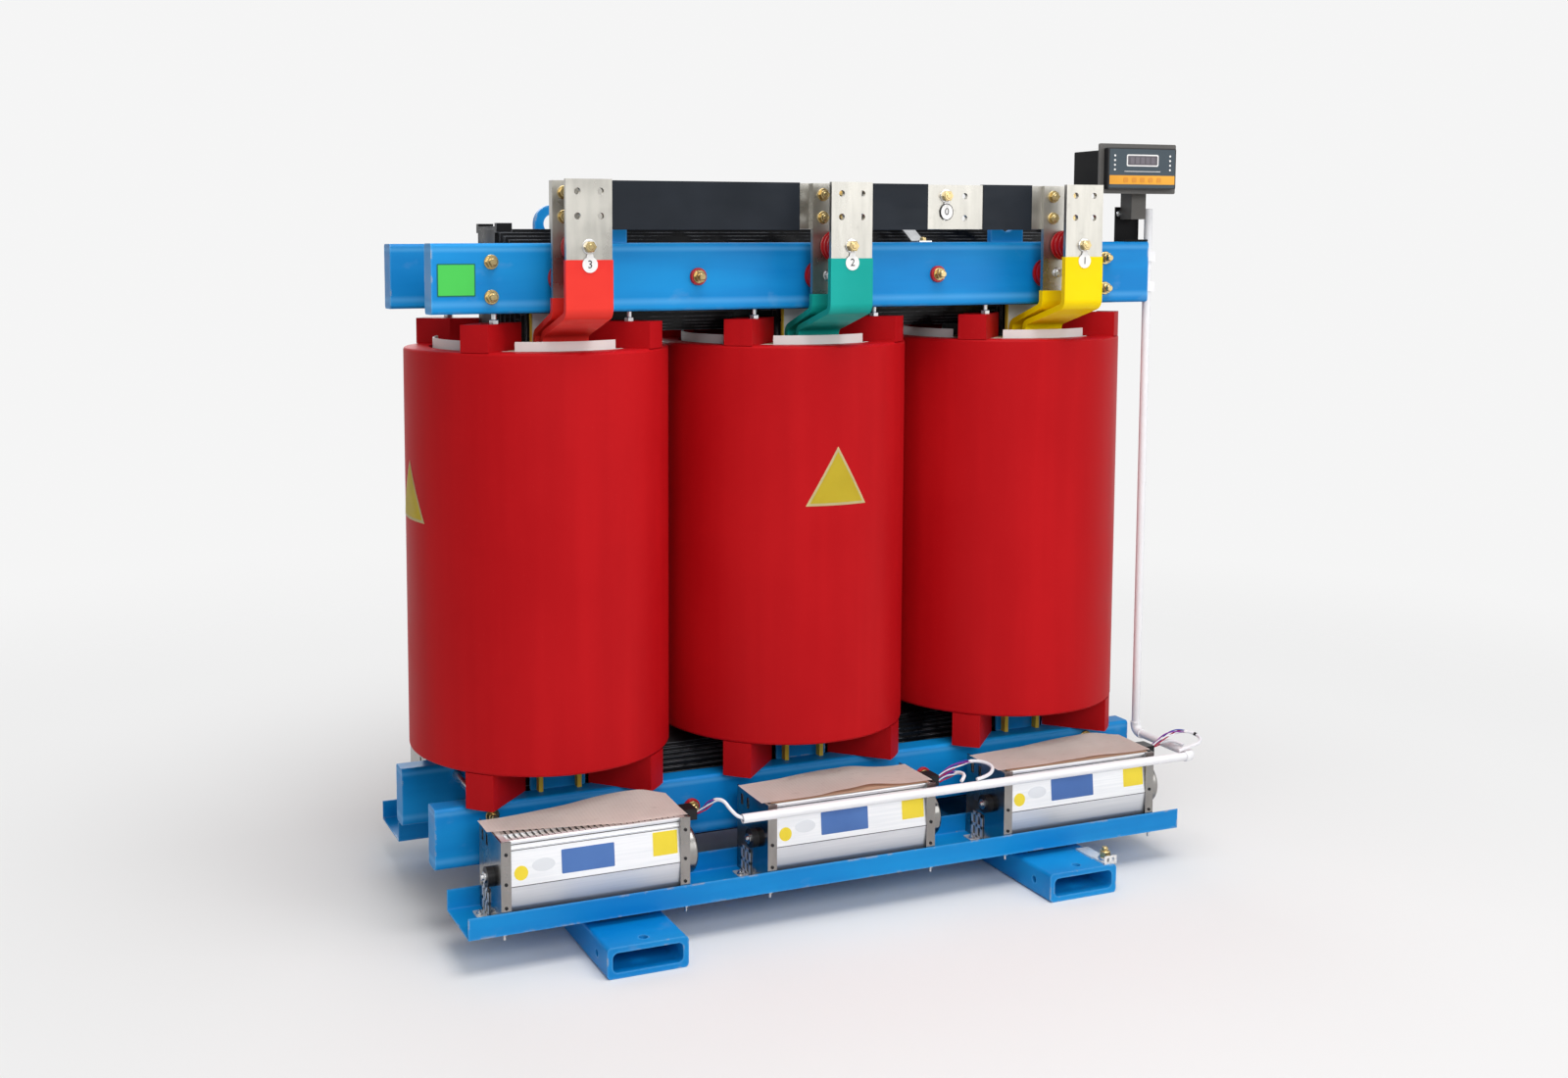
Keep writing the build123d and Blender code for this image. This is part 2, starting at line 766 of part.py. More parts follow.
def fan_motor():
    axis_y = -fan_front + fan_axis_shares[0] * fan_depth
    axis_z = fan_base + fan_axis_shares[1] * fan_height
    body = rod((half_fan, axis_y, axis_z), (1, 0, 0), motor_radius, motor_length)
    return fillet(body.faces().sort_by(Axis.X)[-1].edges(), motor_edge_radius)


def fan_bearing():
    axis_y = -fan_front + fan_axis_shares[0] * fan_depth
    axis_z = fan_base + fan_axis_shares[1] * fan_height
    return rod((-half_fan, axis_y, axis_z), (-1, 0, 0), bearing_radius, bearing_length)


def fan_grille():
    reach = half_fan - 2 * fan_sheet - pad_clearance
    y_low = -fan_front + fan_outline_shares[0][0] * fan_depth + fan_sheet
    y_high = -fan_front + fan_outline_shares[-1][0] * fan_depth - fan_sheet
    top = fan_base + fan_outline_shares[0][1] * fan_height
    body = block(-reach, reach, y_low, y_high, top - grille_thickness, top)
    room = y_high - y_low - 2 * grille_frame
    gap = (room - grille_slats * grille_slat_width) / (grille_slats + 1)
    for number in range(grille_slats + 1):
        low = y_low + grille_frame + number * (gap + grille_slat_width)
        body = body - block(
            -reach + grille_frame, reach - grille_frame, low, low + gap,
            top - grille_thickness - overrun, top + overrun)
    return body


def fan_terminal_block():
    y_low = -fan_front + fan_depth / 4
    return block(
        half_fan, half_fan + terminal_block_width, y_low, y_low + terminal_block_depth,
        fan_top - terminal_block_height, fan_top)


def front_and_rear(name, bodies):
    keep(name, [piece for body in bodies for half in both_sides(body) for piece in at_phases(half)])


front_and_rear("fan_housings", [fan_housing()])
front_and_rear("fan_end_plates", [fan_end(-1), fan_end(1)])
front_and_rear("fan_rotors", [fan_rotor()])
front_and_rear("fan_motors", [fan_motor()])
front_and_rear("fan_bearings", [fan_bearing()])
front_and_rear("fan_grilles", [fan_grille()])
front_and_rear("fan_terminal_blocks", [fan_terminal_block()])
cover = block(
    -half_fan - cover_overhang, half_fan, -fan_front - cover_overhang, -fan_front - cover_overhang + cover_depth,
    fan_top, fan_top + cover_thickness)
keep("fan_cover_boards", at_phases(cover))


# Temperature controller on a post beside the right-hand bars
def on_post(body):
    return Pos(controller_x, -controller_y, 0) * body


case = block(
    -case_step - case_width / 2, -case_step + case_width / 2, -case_reach, case_depth - case_reach,
    controller_foot_z, controller_foot_z + case_height)
case = fillet(case.edges().filter_by(Axis.Y), case_edge_radius)


def front_plate(width, height, depth, back):
    middle_z = controller_foot_z + case_height / 2
    body = block(
        -case_step - width / 2, -case_step + width / 2, back - depth, back,
        middle_z - height / 2, middle_z + height / 2)
    return fillet(body.edges().filter_by(Axis.Y), bezel_edge_radius)


bezel = front_plate(bezel_width, bezel_height, bezel_depth, -case_reach)
panel = front_plate(panel_width, panel_height, panel_depth, -case_reach - bezel_depth)
keep("controller_case", on_post(case))
keep("controller_front", on_post(bezel + panel))
stand = block(
    -stand_width / 2, stand_width / 2, -stand_width / 2, stand_width / 2,
    controller_foot_z - stand_height, controller_foot_z)
inside = stand_width / 2 - stand_wall
stand_bore = block(
    -inside, inside, -inside, inside, controller_foot_z - stand_height - overrun, controller_foot_z + overrun)
keep("controller_stand", on_post(stand - stand_bore))
bracket_back = stand_width / 2
bracket = block(
    -bracket_width / 2, bracket_width / 2, bracket_back, bracket_back + bracket_sheet,
    upper_clamp_top, upper_clamp_top + bracket_height)
bracket_base = block(
    -bracket_width / 2, bracket_width / 2, bracket_back - bracket_foot, bracket_back,
    upper_clamp_top, upper_clamp_top + bracket_sheet)
keep("controller_bracket", on_post(bracket + bracket_base))


# Conduit: riser beside the clamp ends, a side run and a run along the front of the fans
def tube(start, direction, length):
    outer = rod(start, direction, conduit_radius, length)
    plane = Plane(start, z_dir=direction)
    align = (Align.CENTER, Align.CENTER, Align.MIN)
    bore = plane * Pos(0, 0, -overrun) * Cylinder(
        conduit_radius - conduit_wall, length + 2 * overrun, align=align)
    return outer - bore


def elbow(first, corner, last):
    path = FilletPolyline(first, corner, last, radius=conduit_bend_radius)
    plane = Plane(path @ 0, z_dir=path % 0)
    return sweep(plane * Circle(elbow_radius), path=path) - sweep(
        plane * Circle(conduit_radius - conduit_wall), path=path)


conduit_x = clamp_length / 2 + conduit_gap + conduit_radius
socket = conduit_bend_radius + conduit_radius / 2
keep("conduit_runs", [
    tube((conduit_x, -conduit_rear_y, conduit_level + socket), (0, 0, 1), conduit_top - conduit_level - socket),
    tube(
        (conduit_x, -conduit_rear_y - socket, conduit_level), (0, -1, 0),
        conduit_front_y - conduit_rear_y - 2 * socket),
    tube(
        (conduit_x - socket, -conduit_front_y, conduit_level), (-1, 0, 0),
        conduit_x - socket + conduit_left_reach)])
keep("conduit_elbows", [
    elbow(
        (conduit_x, -conduit_rear_y, conduit_level + socket), (conduit_x, -conduit_rear_y, conduit_level),
        (conduit_x, -conduit_rear_y - socket, conduit_level)),
    elbow(
        (conduit_x, -conduit_front_y + socket, conduit_level), (conduit_x, -conduit_front_y, conduit_level),
        (conduit_x - socket, -conduit_front_y, conduit_level))])

# Clips that hold the riser to the clamp ends
clips = []
for share in clip_shares:
    z = upper_clamp_base + share * upper_clamp_height
    reach = conduit_radius + clip_wall
    clip = block(
        clamp_length / 2, conduit_x + reach, -conduit_rear_y - reach, -conduit_rear_y + reach,
        z - clip_width / 2, z + clip_width / 2)
    passage = rod(
        (conduit_x, -conduit_rear_y, z - clip_width / 2 - overrun), (0, 0, 1), conduit_radius,
        clip_width + 2 * overrun)
    clips.append(clip - passage)
keep("conduit_clips", clips)


# Fan leads: tubes of straight runs joined by the largest arcs that fit
def lead(name, route):
    points = [Vector(*point) for point in route]
    runs = [end - start for start, end in zip(points, points[1:])]
    radii = []
    for before, after in zip(runs, runs[1:]):
        shorter = min(before.length, after.length)
        radii.append(lead_run_share * shorter / tan(radians(before.get_angle(after)) / 2))
    print(name, "bend radii", [round(radius, 1) for radius in radii])
    path = FilletPolyline(*points, radius=radii)
    return sweep(Plane(path @ 0, z_dir=path % 0) * Circle(lead_radius), path=path)


for name, route in lead_routes.items():
    keep(name, lead(name, route))

# Earth terminal plate on the right-hand foot
earth_x = foot_gauge / 2 + foot_width / 2 - earth_width
earth_y = -foot_length / 2 + earth_inset
keep("earth_plate", block(
    earth_x, earth_x + earth_width, earth_y, earth_y + earth_length, foot_height, foot_height + earth_thickness))

# The frame's origin is at the middle of the part's outline on the floor
rigid = [body for name, bodies in pieces.items() if name not in lead_routes for body in bodies]
low_x = min(body.bounding_box().min.X for body in rigid)
high_x = max(body.bounding_box().max.X for body in rigid)
shift = Pos(-(low_x + high_x) / 2, 0, 0)
print("shift", -(low_x + high_x) / 2)
for name, bodies in pieces.items():
    moved = [shift * body for body in bodies]
    shape = moved[0] if len(moved) == 1 else Compound(children=moved)
    export_step(shape, "parts/" + name + ".step")
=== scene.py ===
"""Dresses the dry-type power transformer: finishes, fasteners, leads, boards and bare plates.

Metres, Z up, the low-voltage side towards minus Y.
"""
import json
import math

import bmesh
import bpy
from mathutils import Matrix, Vector


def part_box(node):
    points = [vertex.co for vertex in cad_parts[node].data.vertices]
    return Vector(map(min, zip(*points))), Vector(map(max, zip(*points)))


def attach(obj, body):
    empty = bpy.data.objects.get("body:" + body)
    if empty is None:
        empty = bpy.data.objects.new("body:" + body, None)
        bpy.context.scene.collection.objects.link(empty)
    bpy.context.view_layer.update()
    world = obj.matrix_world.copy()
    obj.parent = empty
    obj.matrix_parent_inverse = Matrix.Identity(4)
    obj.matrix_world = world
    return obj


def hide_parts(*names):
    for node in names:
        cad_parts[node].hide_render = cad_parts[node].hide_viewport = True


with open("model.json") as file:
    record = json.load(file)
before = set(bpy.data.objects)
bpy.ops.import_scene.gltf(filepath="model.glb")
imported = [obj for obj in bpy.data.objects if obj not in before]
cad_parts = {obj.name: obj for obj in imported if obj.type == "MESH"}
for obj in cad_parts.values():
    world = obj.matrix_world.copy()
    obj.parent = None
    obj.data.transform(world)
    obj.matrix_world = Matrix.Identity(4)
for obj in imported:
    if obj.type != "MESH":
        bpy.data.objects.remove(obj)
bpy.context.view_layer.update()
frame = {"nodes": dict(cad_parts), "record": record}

MM = 0.001
BODY = "root"
FRONT = (0, -1, 0)
REAR = (0, 1, 0)
LEFT = (-1, 0, 0)
RIGHT = (1, 0, 0)
UP = (0, 0, 1)
DOWN = (0, 0, -1)

# Places read from the frame
MOUNTS = {mount["name"]: Vector(mount["pos_m"]) for mount in frame["record"]["mounts"]}
PHASE_X = [MOUNTS["line_terminal_" + name].x for name in ("left", "middle", "right")]
PHASE_SIDES = [(x, side) for x in PHASE_X for side in (-1, 1)]
MIDDLE_X = PHASE_X[1]
PITCH = PHASE_X[2] - PHASE_X[1]
UPPER_LOW, UPPER_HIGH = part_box("upper_front_clamp")
LOWER_LOW, LOWER_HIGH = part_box("lower_front_clamp")
COIL_LOW, COIL_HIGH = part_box("cast_coils")
COIL_RADIUS = COIL_HIGH.y
TERMINAL_Z = MOUNTS["line_terminal_middle"].z
NEUTRAL = MOUNTS["neutral_terminal"]
BAR_FACE = MOUNTS["line_terminal_middle"].y
RISER_FACE = BAR_FACE + 86 * MM
NEUTRAL_FACE = NEUTRAL.y
INSULATOR_LOW, INSULATOR_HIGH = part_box("post_insulators")
TRAY_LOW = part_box("fan_trays")[0]
PLATE_LOW, PLATE_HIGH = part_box("fan_end_plates")

# Fan units
FAN_LENGTH = 420 * MM
FAN_DEPTH = 155 * MM
FAN_BASE = PLATE_LOW.z
FAN_TOP = PLATE_HIGH.z
FAN_HEIGHT = FAN_TOP - FAN_BASE
FAN_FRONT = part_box("fan_housings")[0].y
FLANGE_FACE = PLATE_LOW.y
FLANGE_WIDTH = 22 * MM
SHEET = 2 * MM
PANEL_TOP_SHARES = (0.06, 0.985)
CREASE_SHARE = 0.49
AXIS_SHARES = (0.39, 0.52)
AXIS_Y = FAN_FRONT + AXIS_SHARES[0] * FAN_DEPTH
AXIS_Z = FAN_BASE + AXIS_SHARES[1] * FAN_HEIGHT


# Node graphs
class Wire:
    """A node's output socket that takes arithmetic."""

    def __init__(self, graph, socket):
        self.graph = graph
        self.socket = socket

    def math(self, operation, first, second=0.0):
        return self.graph.node("ShaderNodeMath", {0: first, 1: second}, operation=operation)

    def __add__(self, other):
        return self.math("ADD", self, other)

    __radd__ = __add__

    def __sub__(self, other):
        return self.math("SUBTRACT", self, other)

    def __rsub__(self, other):
        return self.math("SUBTRACT", other, self)

    def __mul__(self, other):
        return self.math("MULTIPLY", self, other)

    __rmul__ = __mul__

    def __truediv__(self, other):
        return self.math("DIVIDE", self, other)

    def __rtruediv__(self, other):
        return self.math("DIVIDE", other, self)

    def __mod__(self, other):
        return self.math("FLOORED_MODULO", self, other)

    def __lt__(self, other):
        return self.math("LESS_THAN", self, other)

    def __abs__(self):
        return self.math("ABSOLUTE", self)


class Graph:
    """A node tree, with one method that adds any node."""

    def __init__(self, tree):
        self.tree = tree

    def node(self, kind, sockets=None, out=0, **settings):
        made = self.tree.nodes.new(kind)
        for name, value in settings.items():
            setattr(made, name, value)
        for name, value in (sockets or {}).items():
            self.join(value, made.inputs[name])
        return Wire(self, made.outputs[out])

    def join(self, value, socket):
        if isinstance(value, Wire):
            self.tree.links.new(value.socket, socket)
        elif isinstance(value, list):
            for each in value:
                self.tree.links.new(each.socket, socket)
        else:
            socket.default_value = value


class Finish(Graph):
    """A material on Object coordinates around one Principled shader."""

    def __init__(self, name, **constants):
        self.material = bpy.data.materials.new(name)
        self.material.use_nodes = True
        super().__init__(self.material.node_tree)
        self.shader = self.tree.nodes["Principled BSDF"]
        self.place = self.node("ShaderNodeTexCoord", out="Object")
        for socket, value in constants.items():
            self.shader.inputs[socket.replace("_", " ")].default_value = value

    def set(self, socket, value):
        self.join(value, self.shader.inputs[socket])

    def stretched(self, stretch):
        return self.node("ShaderNodeMapping", {"Vector": self.place, "Scale": stretch})

    def noise(self, scale, stretch=(1, 1, 1), detail=3.0):
        return self.node(
            "ShaderNodeTexNoise", {"Vector": self.stretched(stretch), "Scale": scale, "Detail": detail})

    def cells(self, scale):
        return self.node("ShaderNodeTexVoronoi", {"Vector": self.place, "Scale": scale})

    def bands(self, axis, scale, distortion=0.4):
        return self.node(
            "ShaderNodeTexWave",
            {"Vector": self.place, "Scale": scale, "Distortion": distortion, "Detail": 2.0},
            bands_direction=axis)

    def axis(self, name):
        return self.node("ShaderNodeSeparateXYZ", {0: self.place}, out=name)

    def between(self, value, low, high, start=0.0, end=1.0):
        return self.node(
            "ShaderNodeMapRange",
            {"Value": value, "From Min": low, "From Max": high, "To Min": start, "To Max": end},
            interpolation_type="SMOOTHSTEP")

    def blend(self, share, first, second):
        first, second = [c if isinstance(c, Wire) else (*c, 1.0) for c in (first, second)]
        return self.node("ShaderNodeMix", {0: share, 6: first, 7: second}, out=2, data_type="RGBA")

    def edge_mask(self, radius):
        plain = self.node("ShaderNodeNewGeometry", out="Normal")
        turned = self.node("ShaderNodeBevel", {"Radius": radius}, samples=4)
        same = self.node(
            "ShaderNodeVectorMath", {0: plain, 1: turned}, out="Value", operation="DOT_PRODUCT")
        return self.between(same, 0.985, 0.90)

    def colour(self, share, first, second):
        self.set("Base Color", self.blend(share, first, second))

    def rough(self, pattern, smooth, coarse):
        self.set("Roughness", self.between(pattern, 0.3, 0.7, smooth, coarse))

    def bump(self, height, distance, strength=0.5):
        self.set("Normal", self.node(
            "ShaderNodeBump", {"Height": height, "Distance": distance, "Strength": strength}))


# Finishes
def enamel(name, colour, pale, wear):
    """Blue enamel: faint orange peel, hand marks, bare metal where edges are knocked, and a painted
    highlight along the edges and in bands near the top and bottom of each clamp's face.
    """
    paint = Finish(name, Specular_IOR_Level=0.2)
    broad = paint.noise(2.2, detail=4.0)
    streak = paint.noise(9.0, (0.18, 1.0, 1.8), 5.0)
    scuff = paint.noise(26.0, (0.6, 1.0, 1.0), 6.0)
    body = paint.blend(paint.between(broad * 0.5 + streak * 0.5, 0.38, 0.64), colour, pale)
    dust = paint.between(scuff, 0.62, 0.80) * 0.12
    body = paint.blend(dust, body, (0.36, 0.44, 0.52))
    edge = paint.edge_mask(7.0 * MM)
    # Painted highlight: the fold mask lightens the blue along every edge, and in two bands near the top and
    # bottom of each clamp, to stand for light on the rounded bends.
    fold = edge * 0.32
    for low, high in ((UPPER_LOW.z, UPPER_HIGH.z), (LOWER_LOW.z, LOWER_HIGH.z)):
        for share, width in ((0.14, 11 * MM), (0.91, 8 * MM)):
            middle = low + share * (high - low)
            level = paint.axis("Z")
            rise = paint.between(level, middle - width, middle)
            fold = fold + rise * paint.between(level, middle + width, middle) * 0.3
    body = paint.blend(fold, body, (0.16, 0.50, 0.86))
    knocked = edge * paint.between(paint.noise(30.0, detail=5.0), 0.56, 0.64) * wear
    paint.colour(knocked, body, (0.46, 0.48, 0.50))
    paint.set("Metallic", knocked * 0.6)
    paint.set("Roughness", paint.between(streak, 0.3, 0.75, 0.34, 0.48) + dust)
    paint.bump(paint.noise(130.0, detail=2.0) * 0.3 + broad, 0.4 * MM, 0.4)
    return paint.material


def casting_resin(name, colour, deep, rough, shine=0.08):
    """Red casting resin: slight mottling, pour streaks and a thin mould seam on each coil."""
    resin = Finish(name, Specular_IOR_Level=shine)
    mottle = resin.noise(3.2, (1, 1, 0.7), 5.0)
    streak = resin.noise(20.0, (1, 1, 0.05))
    body = resin.blend(resin.between(mottle * 0.6 + streak * 0.4, 0.38, 0.66), deep, colour)
    specks = resin.between(resin.cells(70.0), 0.10, 0.05) * 0.07
    body = resin.blend(specks, body, (0.60, 0.16, 0.13))
    local = (resin.axis("X") - (MIDDLE_X - PITCH / 2)) % PITCH - PITCH / 2
    angle = local.math("ARCTAN2", resin.axis("Y"), local)
    seam = resin.between(abs(angle + 0.18), 0.0065, 0.002)
    resin.colour(seam * 0.3, body, (0.20, 0.012, 0.012))
    resin.rough(mottle, rough, rough + 0.12)
    resin.bump(resin.noise(200.0, detail=2.0) * 0.12 + mottle * 0.5 + seam * 1.2, 0.45 * MM)
    return resin.material


def core_varnish():
    """Black varnish over stacked sheet edges, with a painted highlight in pale patches along the edges of
    the steps.
    """
    varnish = Finish("core_varnish", Specular_IOR_Level=0.16)
    sheet = varnish.bands("Y", 52.0)
    blot = varnish.noise(14.0, detail=5.0)
    edge = varnish.between(sheet, 0.78, 0.98) * varnish.between(blot, 0.42, 0.60)
    black = varnish.blend(blot, (0.0015, 0.0015, 0.002), (0.005, 0.005, 0.006))
    # Painted highlight: pale patches along the edges of the core's steps, standing for light caught on them.
    rim = varnish.edge_mask(2.5 * MM) * varnish.between(blot, 0.40, 0.56)
    black = varnish.blend(rim * 0.7, black, (0.30, 0.31, 0.33))
    varnish.colour(edge * 0.4, black, (0.10, 0.10, 0.11))
    varnish.rough(blot, 0.24, 0.45)
    varnish.bump(sheet, 0.4 * MM)
    return varnish.material


def plastic(name, colour, other, rough=0.4, grain=160.0, depth=0.12, shine=0.25):
    """Moulded, painted or extruded skin with a slight change of tone and a fine grain."""
    skin = Finish(name, Specular_IOR_Level=shine)
    tone = skin.noise(7.0, detail=4.0)
    skin.colour(skin.between(tone, 0.35, 0.68), colour, other)
    skin.rough(tone, rough - 0.05, rough + 0.08)
    skin.bump(skin.noise(grain, detail=2.0) + tone * 0.4, depth * MM)
    return skin.material


def shrink_sleeve(name, colour, deep):
    """Shrink sleeve: faint wrinkles across the bar and a little gloss."""
    sleeve = Finish(name, Specular_IOR_Level=0.12)
    wrinkle = sleeve.noise(30.0, (0.35, 1, 1.6))
    tone = sleeve.noise(5.0)
    sleeve.colour(sleeve.between(tone, 0.35, 0.7), colour, deep)
    sleeve.rough(wrinkle, 0.36, 0.52)
    sleeve.bump(wrinkle, 0.6 * MM, 0.35)
    return sleeve.material


def plated(name, colour, stain, rough, stretch=(1, 1, 1), brush=70.0, mark=0.3, metal=1.0):
    """Plated or bare metal: brushing along one axis, smudges and small stains."""
    plate = Finish(name, Metallic=metal)
    hair = plate.noise(brush, stretch, 4.0)
    smudge = plate.noise(8.0, detail=5.0)
    spot = plate.between(plate.noise(34.0, detail=6.0), 0.62, 0.76) * mark
    body = plate.blend(plate.between(hair * 0.4 + smudge * 0.6, 0.36, 0.64), stain, colour)
    plate.colour(spot, body, [c * 0.6 for c in stain])
    plate.set("Roughness", plate.between(smudge, 0.3, 0.7, rough - 0.06, rough + 0.10) + spot * 0.15)
    plate.bump(hair, 0.1 * MM, 0.4)
    return plate.material


def fan_skin():
    """Drawn aluminium: long fine brushing, with painted shade that makes the panel darker below its crease
    and a painted dark line along the crease.
    """
    skin = Finish("fan_aluminium", Metallic=0.75)
    hair = skin.noise(240.0, (0.03, 1, 1), 4.0)
    cloud = skin.noise(5.0, (0.5, 1, 1), 3.0)
    crease = FAN_BASE + CREASE_SHARE * FAN_HEIGHT
    # Painted shade: low darkens the panel from the crease down towards its base, and shade paints a dark
    # line along the crease.
    low = skin.between(skin.axis("Z"), crease - 2 * MM, FAN_BASE + 0.1 * FAN_HEIGHT)
    shade = skin.between(skin.axis("Z"), crease + 1 * MM, crease - 1 * MM)
    tone = skin.between(hair * 0.6 + cloud * 0.4, 0.38, 0.62)
    body = skin.blend(tone, (0.84, 0.86, 0.89), (0.92, 0.93, 0.95))
    skin.colour(shade * 0.24 + low * 0.66, body, (0.19, 0.22, 0.27))
    skin.rough(cloud, 0.34, 0.44)
    skin.bump(hair, 0.06 * MM, 0.3)
    return skin.material


def brown_board(name, pale, dark):
    """Corrugated board: flute shadows, fibres and a few damp marks."""
    board = Finish(name, Specular_IOR_Level=0.15)
    flute = board.bands("X", 40.0)
    fibre = board.noise(180.0, (0.2, 1, 1))
    tone = board.noise(7.0, detail=4.0)
    base = board.blend(board.between(tone, 0.35, 0.68), [c * 0.92 for c in pale], pale)
    base = board.blend(board.between(fibre, 0.60, 0.75) * 0.35, base, dark)
    board.colour(board.between(flute, 0.6, 0.95) * 0.08, base, dark)
    board.rough(tone, 0.72, 0.88)
    board.bump(flute * 0.5 + fibre * 0.5, 0.3 * MM)
    return board.material


def winding_tape():
    """Resin-bonded winding: close turns one above the other."""
    tape = Finish("winding_tape", Specular_IOR_Level=0.35)
    turns = tape.bands("Z", 28.0, 0.3)
    tone = tape.noise(6.0)
    light = tape.blend(tone, (0.52, 0.40, 0.24), (0.62, 0.50, 0.31))
    tape.colour(tape.between(turns, 0.1, 0.4), (0.30, 0.22, 0.12), light)
    tape.rough(tone, 0.4, 0.6)
    tape.bump(turns, 0.8 * MM, 0.6)
    return tape.material


def controller_skin():
    """Grey flange behind a black front block, told apart by depth."""
    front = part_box("controller_front")
    step = front[1].y - 5.5 * MM
    skin = Finish("controller_skin", Specular_IOR_Level=0.35)
    tone = skin.noise(9.0, detail=4.0)
    grey = skin.blend(tone, (0.075, 0.072, 0.068), (0.105, 0.10, 0.095))
    black = skin.blend(tone, (0.006, 0.006, 0.007), (0.012, 0.012, 0.013))
    skin.colour(skin.axis("Y") < step, grey, black)
    skin.rough(tone, 0.38, 0.5)
    skin.bump(skin.noise(300.0, detail=2.0), 0.1 * MM)
    return skin.material


BLUE = enamel("blue_enamel", (0.001, 0.195, 0.54), (0.004, 0.260, 0.63), 0.9)
INSULATOR = casting_resin("insulator_resin", (0.46, 0.012, 0.018), (0.38, 0.008, 0.012), 0.2, 0.4)
YELLOW_STICK = plastic("yellow_stick", (0.72, 0.52, 0.06), (0.60, 0.42, 0.04), 0.45, 90.0)
GOLD_ZINC = plated("gold_zinc", (0.52, 0.41, 0.20), (0.33, 0.25, 0.12), 0.22)
BRIGHT_ZINC = plated("bright_zinc", (0.64, 0.65, 0.66), (0.46, 0.47, 0.49), 0.25)
BRASS = plated("brass", (0.83, 0.62, 0.28), (0.60, 0.42, 0.16), 0.28)
RAIL = plated("drawn_rail", (0.88, 0.89, 0.91), (0.78, 0.79, 0.81), 0.4, (0.02, 1, 1), 120.0, 0.05, 0.7)
EARTH_ZINC = plated("earth_zinc", (0.80, 0.80, 0.79), (0.66, 0.66, 0.65), 0.45, mark=0.4, metal=0.5)
ALUMINIUM = fan_skin()
BLACK_PLASTIC = plastic("black_plastic", (0.009, 0.009, 0.010), (0.016, 0.016, 0.018), 0.35)
BOARD = brown_board("brown_board", (0.90, 0.79, 0.74), (0.52, 0.40, 0.34))
BOARD_INSIDE = brown_board("board_inside", (0.46, 0.30, 0.21), (0.26, 0.16, 0.10))
SHEATH = plastic("lead_sheath", (0.80, 0.80, 0.83), (0.72, 0.73, 0.77), 0.45, 220.0)
CORE_RED = plastic("lead_core_red", (0.42, 0.02, 0.05), (0.36, 0.015, 0.04), 0.4)
CORE_BLUE = plastic("lead_core_blue", (0.03, 0.05, 0.36), (0.03, 0.04, 0.30), 0.4)
CORE_VIOLET = plastic("lead_core_violet", (0.22, 0.03, 0.32), (0.18, 0.025, 0.27), 0.4)
TAG_WHITE = plastic("tag_white", (0.84, 0.83, 0.82), (0.76, 0.75, 0.74), 0.4)
PLATE_GREEN = plastic("plate_green", (0.065, 0.55, 0.085), (0.050, 0.48, 0.070), 0.4)
PLATE_EDGE = plastic("plate_edge", (0.010, 0.14, 0.10), (0.008, 0.11, 0.08), 0.4)
PLATE_YELLOW = plastic("plate_yellow", (0.86, 0.68, 0.05), (0.80, 0.62, 0.04), 0.4)
PLATE_CREAM = plastic("plate_cream", (0.86, 0.78, 0.42), (0.80, 0.72, 0.36), 0.42)
PLATE_BLUE = plastic("plate_blue", (0.065, 0.15, 0.40), (0.08, 0.18, 0.45), 0.4)
PLATE_PALE = plastic("plate_pale", (0.74, 0.76, 0.79), (0.70, 0.72, 0.75), 0.5)
PANEL_SLATE = plastic("panel_slate", (0.036, 0.055, 0.070), (0.044, 0.064, 0.080), 0.35, 300.0)
PANEL_ORANGE = plastic("panel_orange", (0.76, 0.36, 0.035), (0.68, 0.30, 0.028), 0.4, 300.0)
# Dark grey for the strips of painted shadow under the fan rails and of painted shade at the crease.
PAINTED_SHADOW_GREY = plastic("joint_grey", (0.10, 0.10, 0.105), (0.14, 0.14, 0.145), 0.5)
PANEL_WINDOW = plastic("panel_window", (0.085, 0.075, 0.088), (0.10, 0.09, 0.105), 0.2, 300.0)

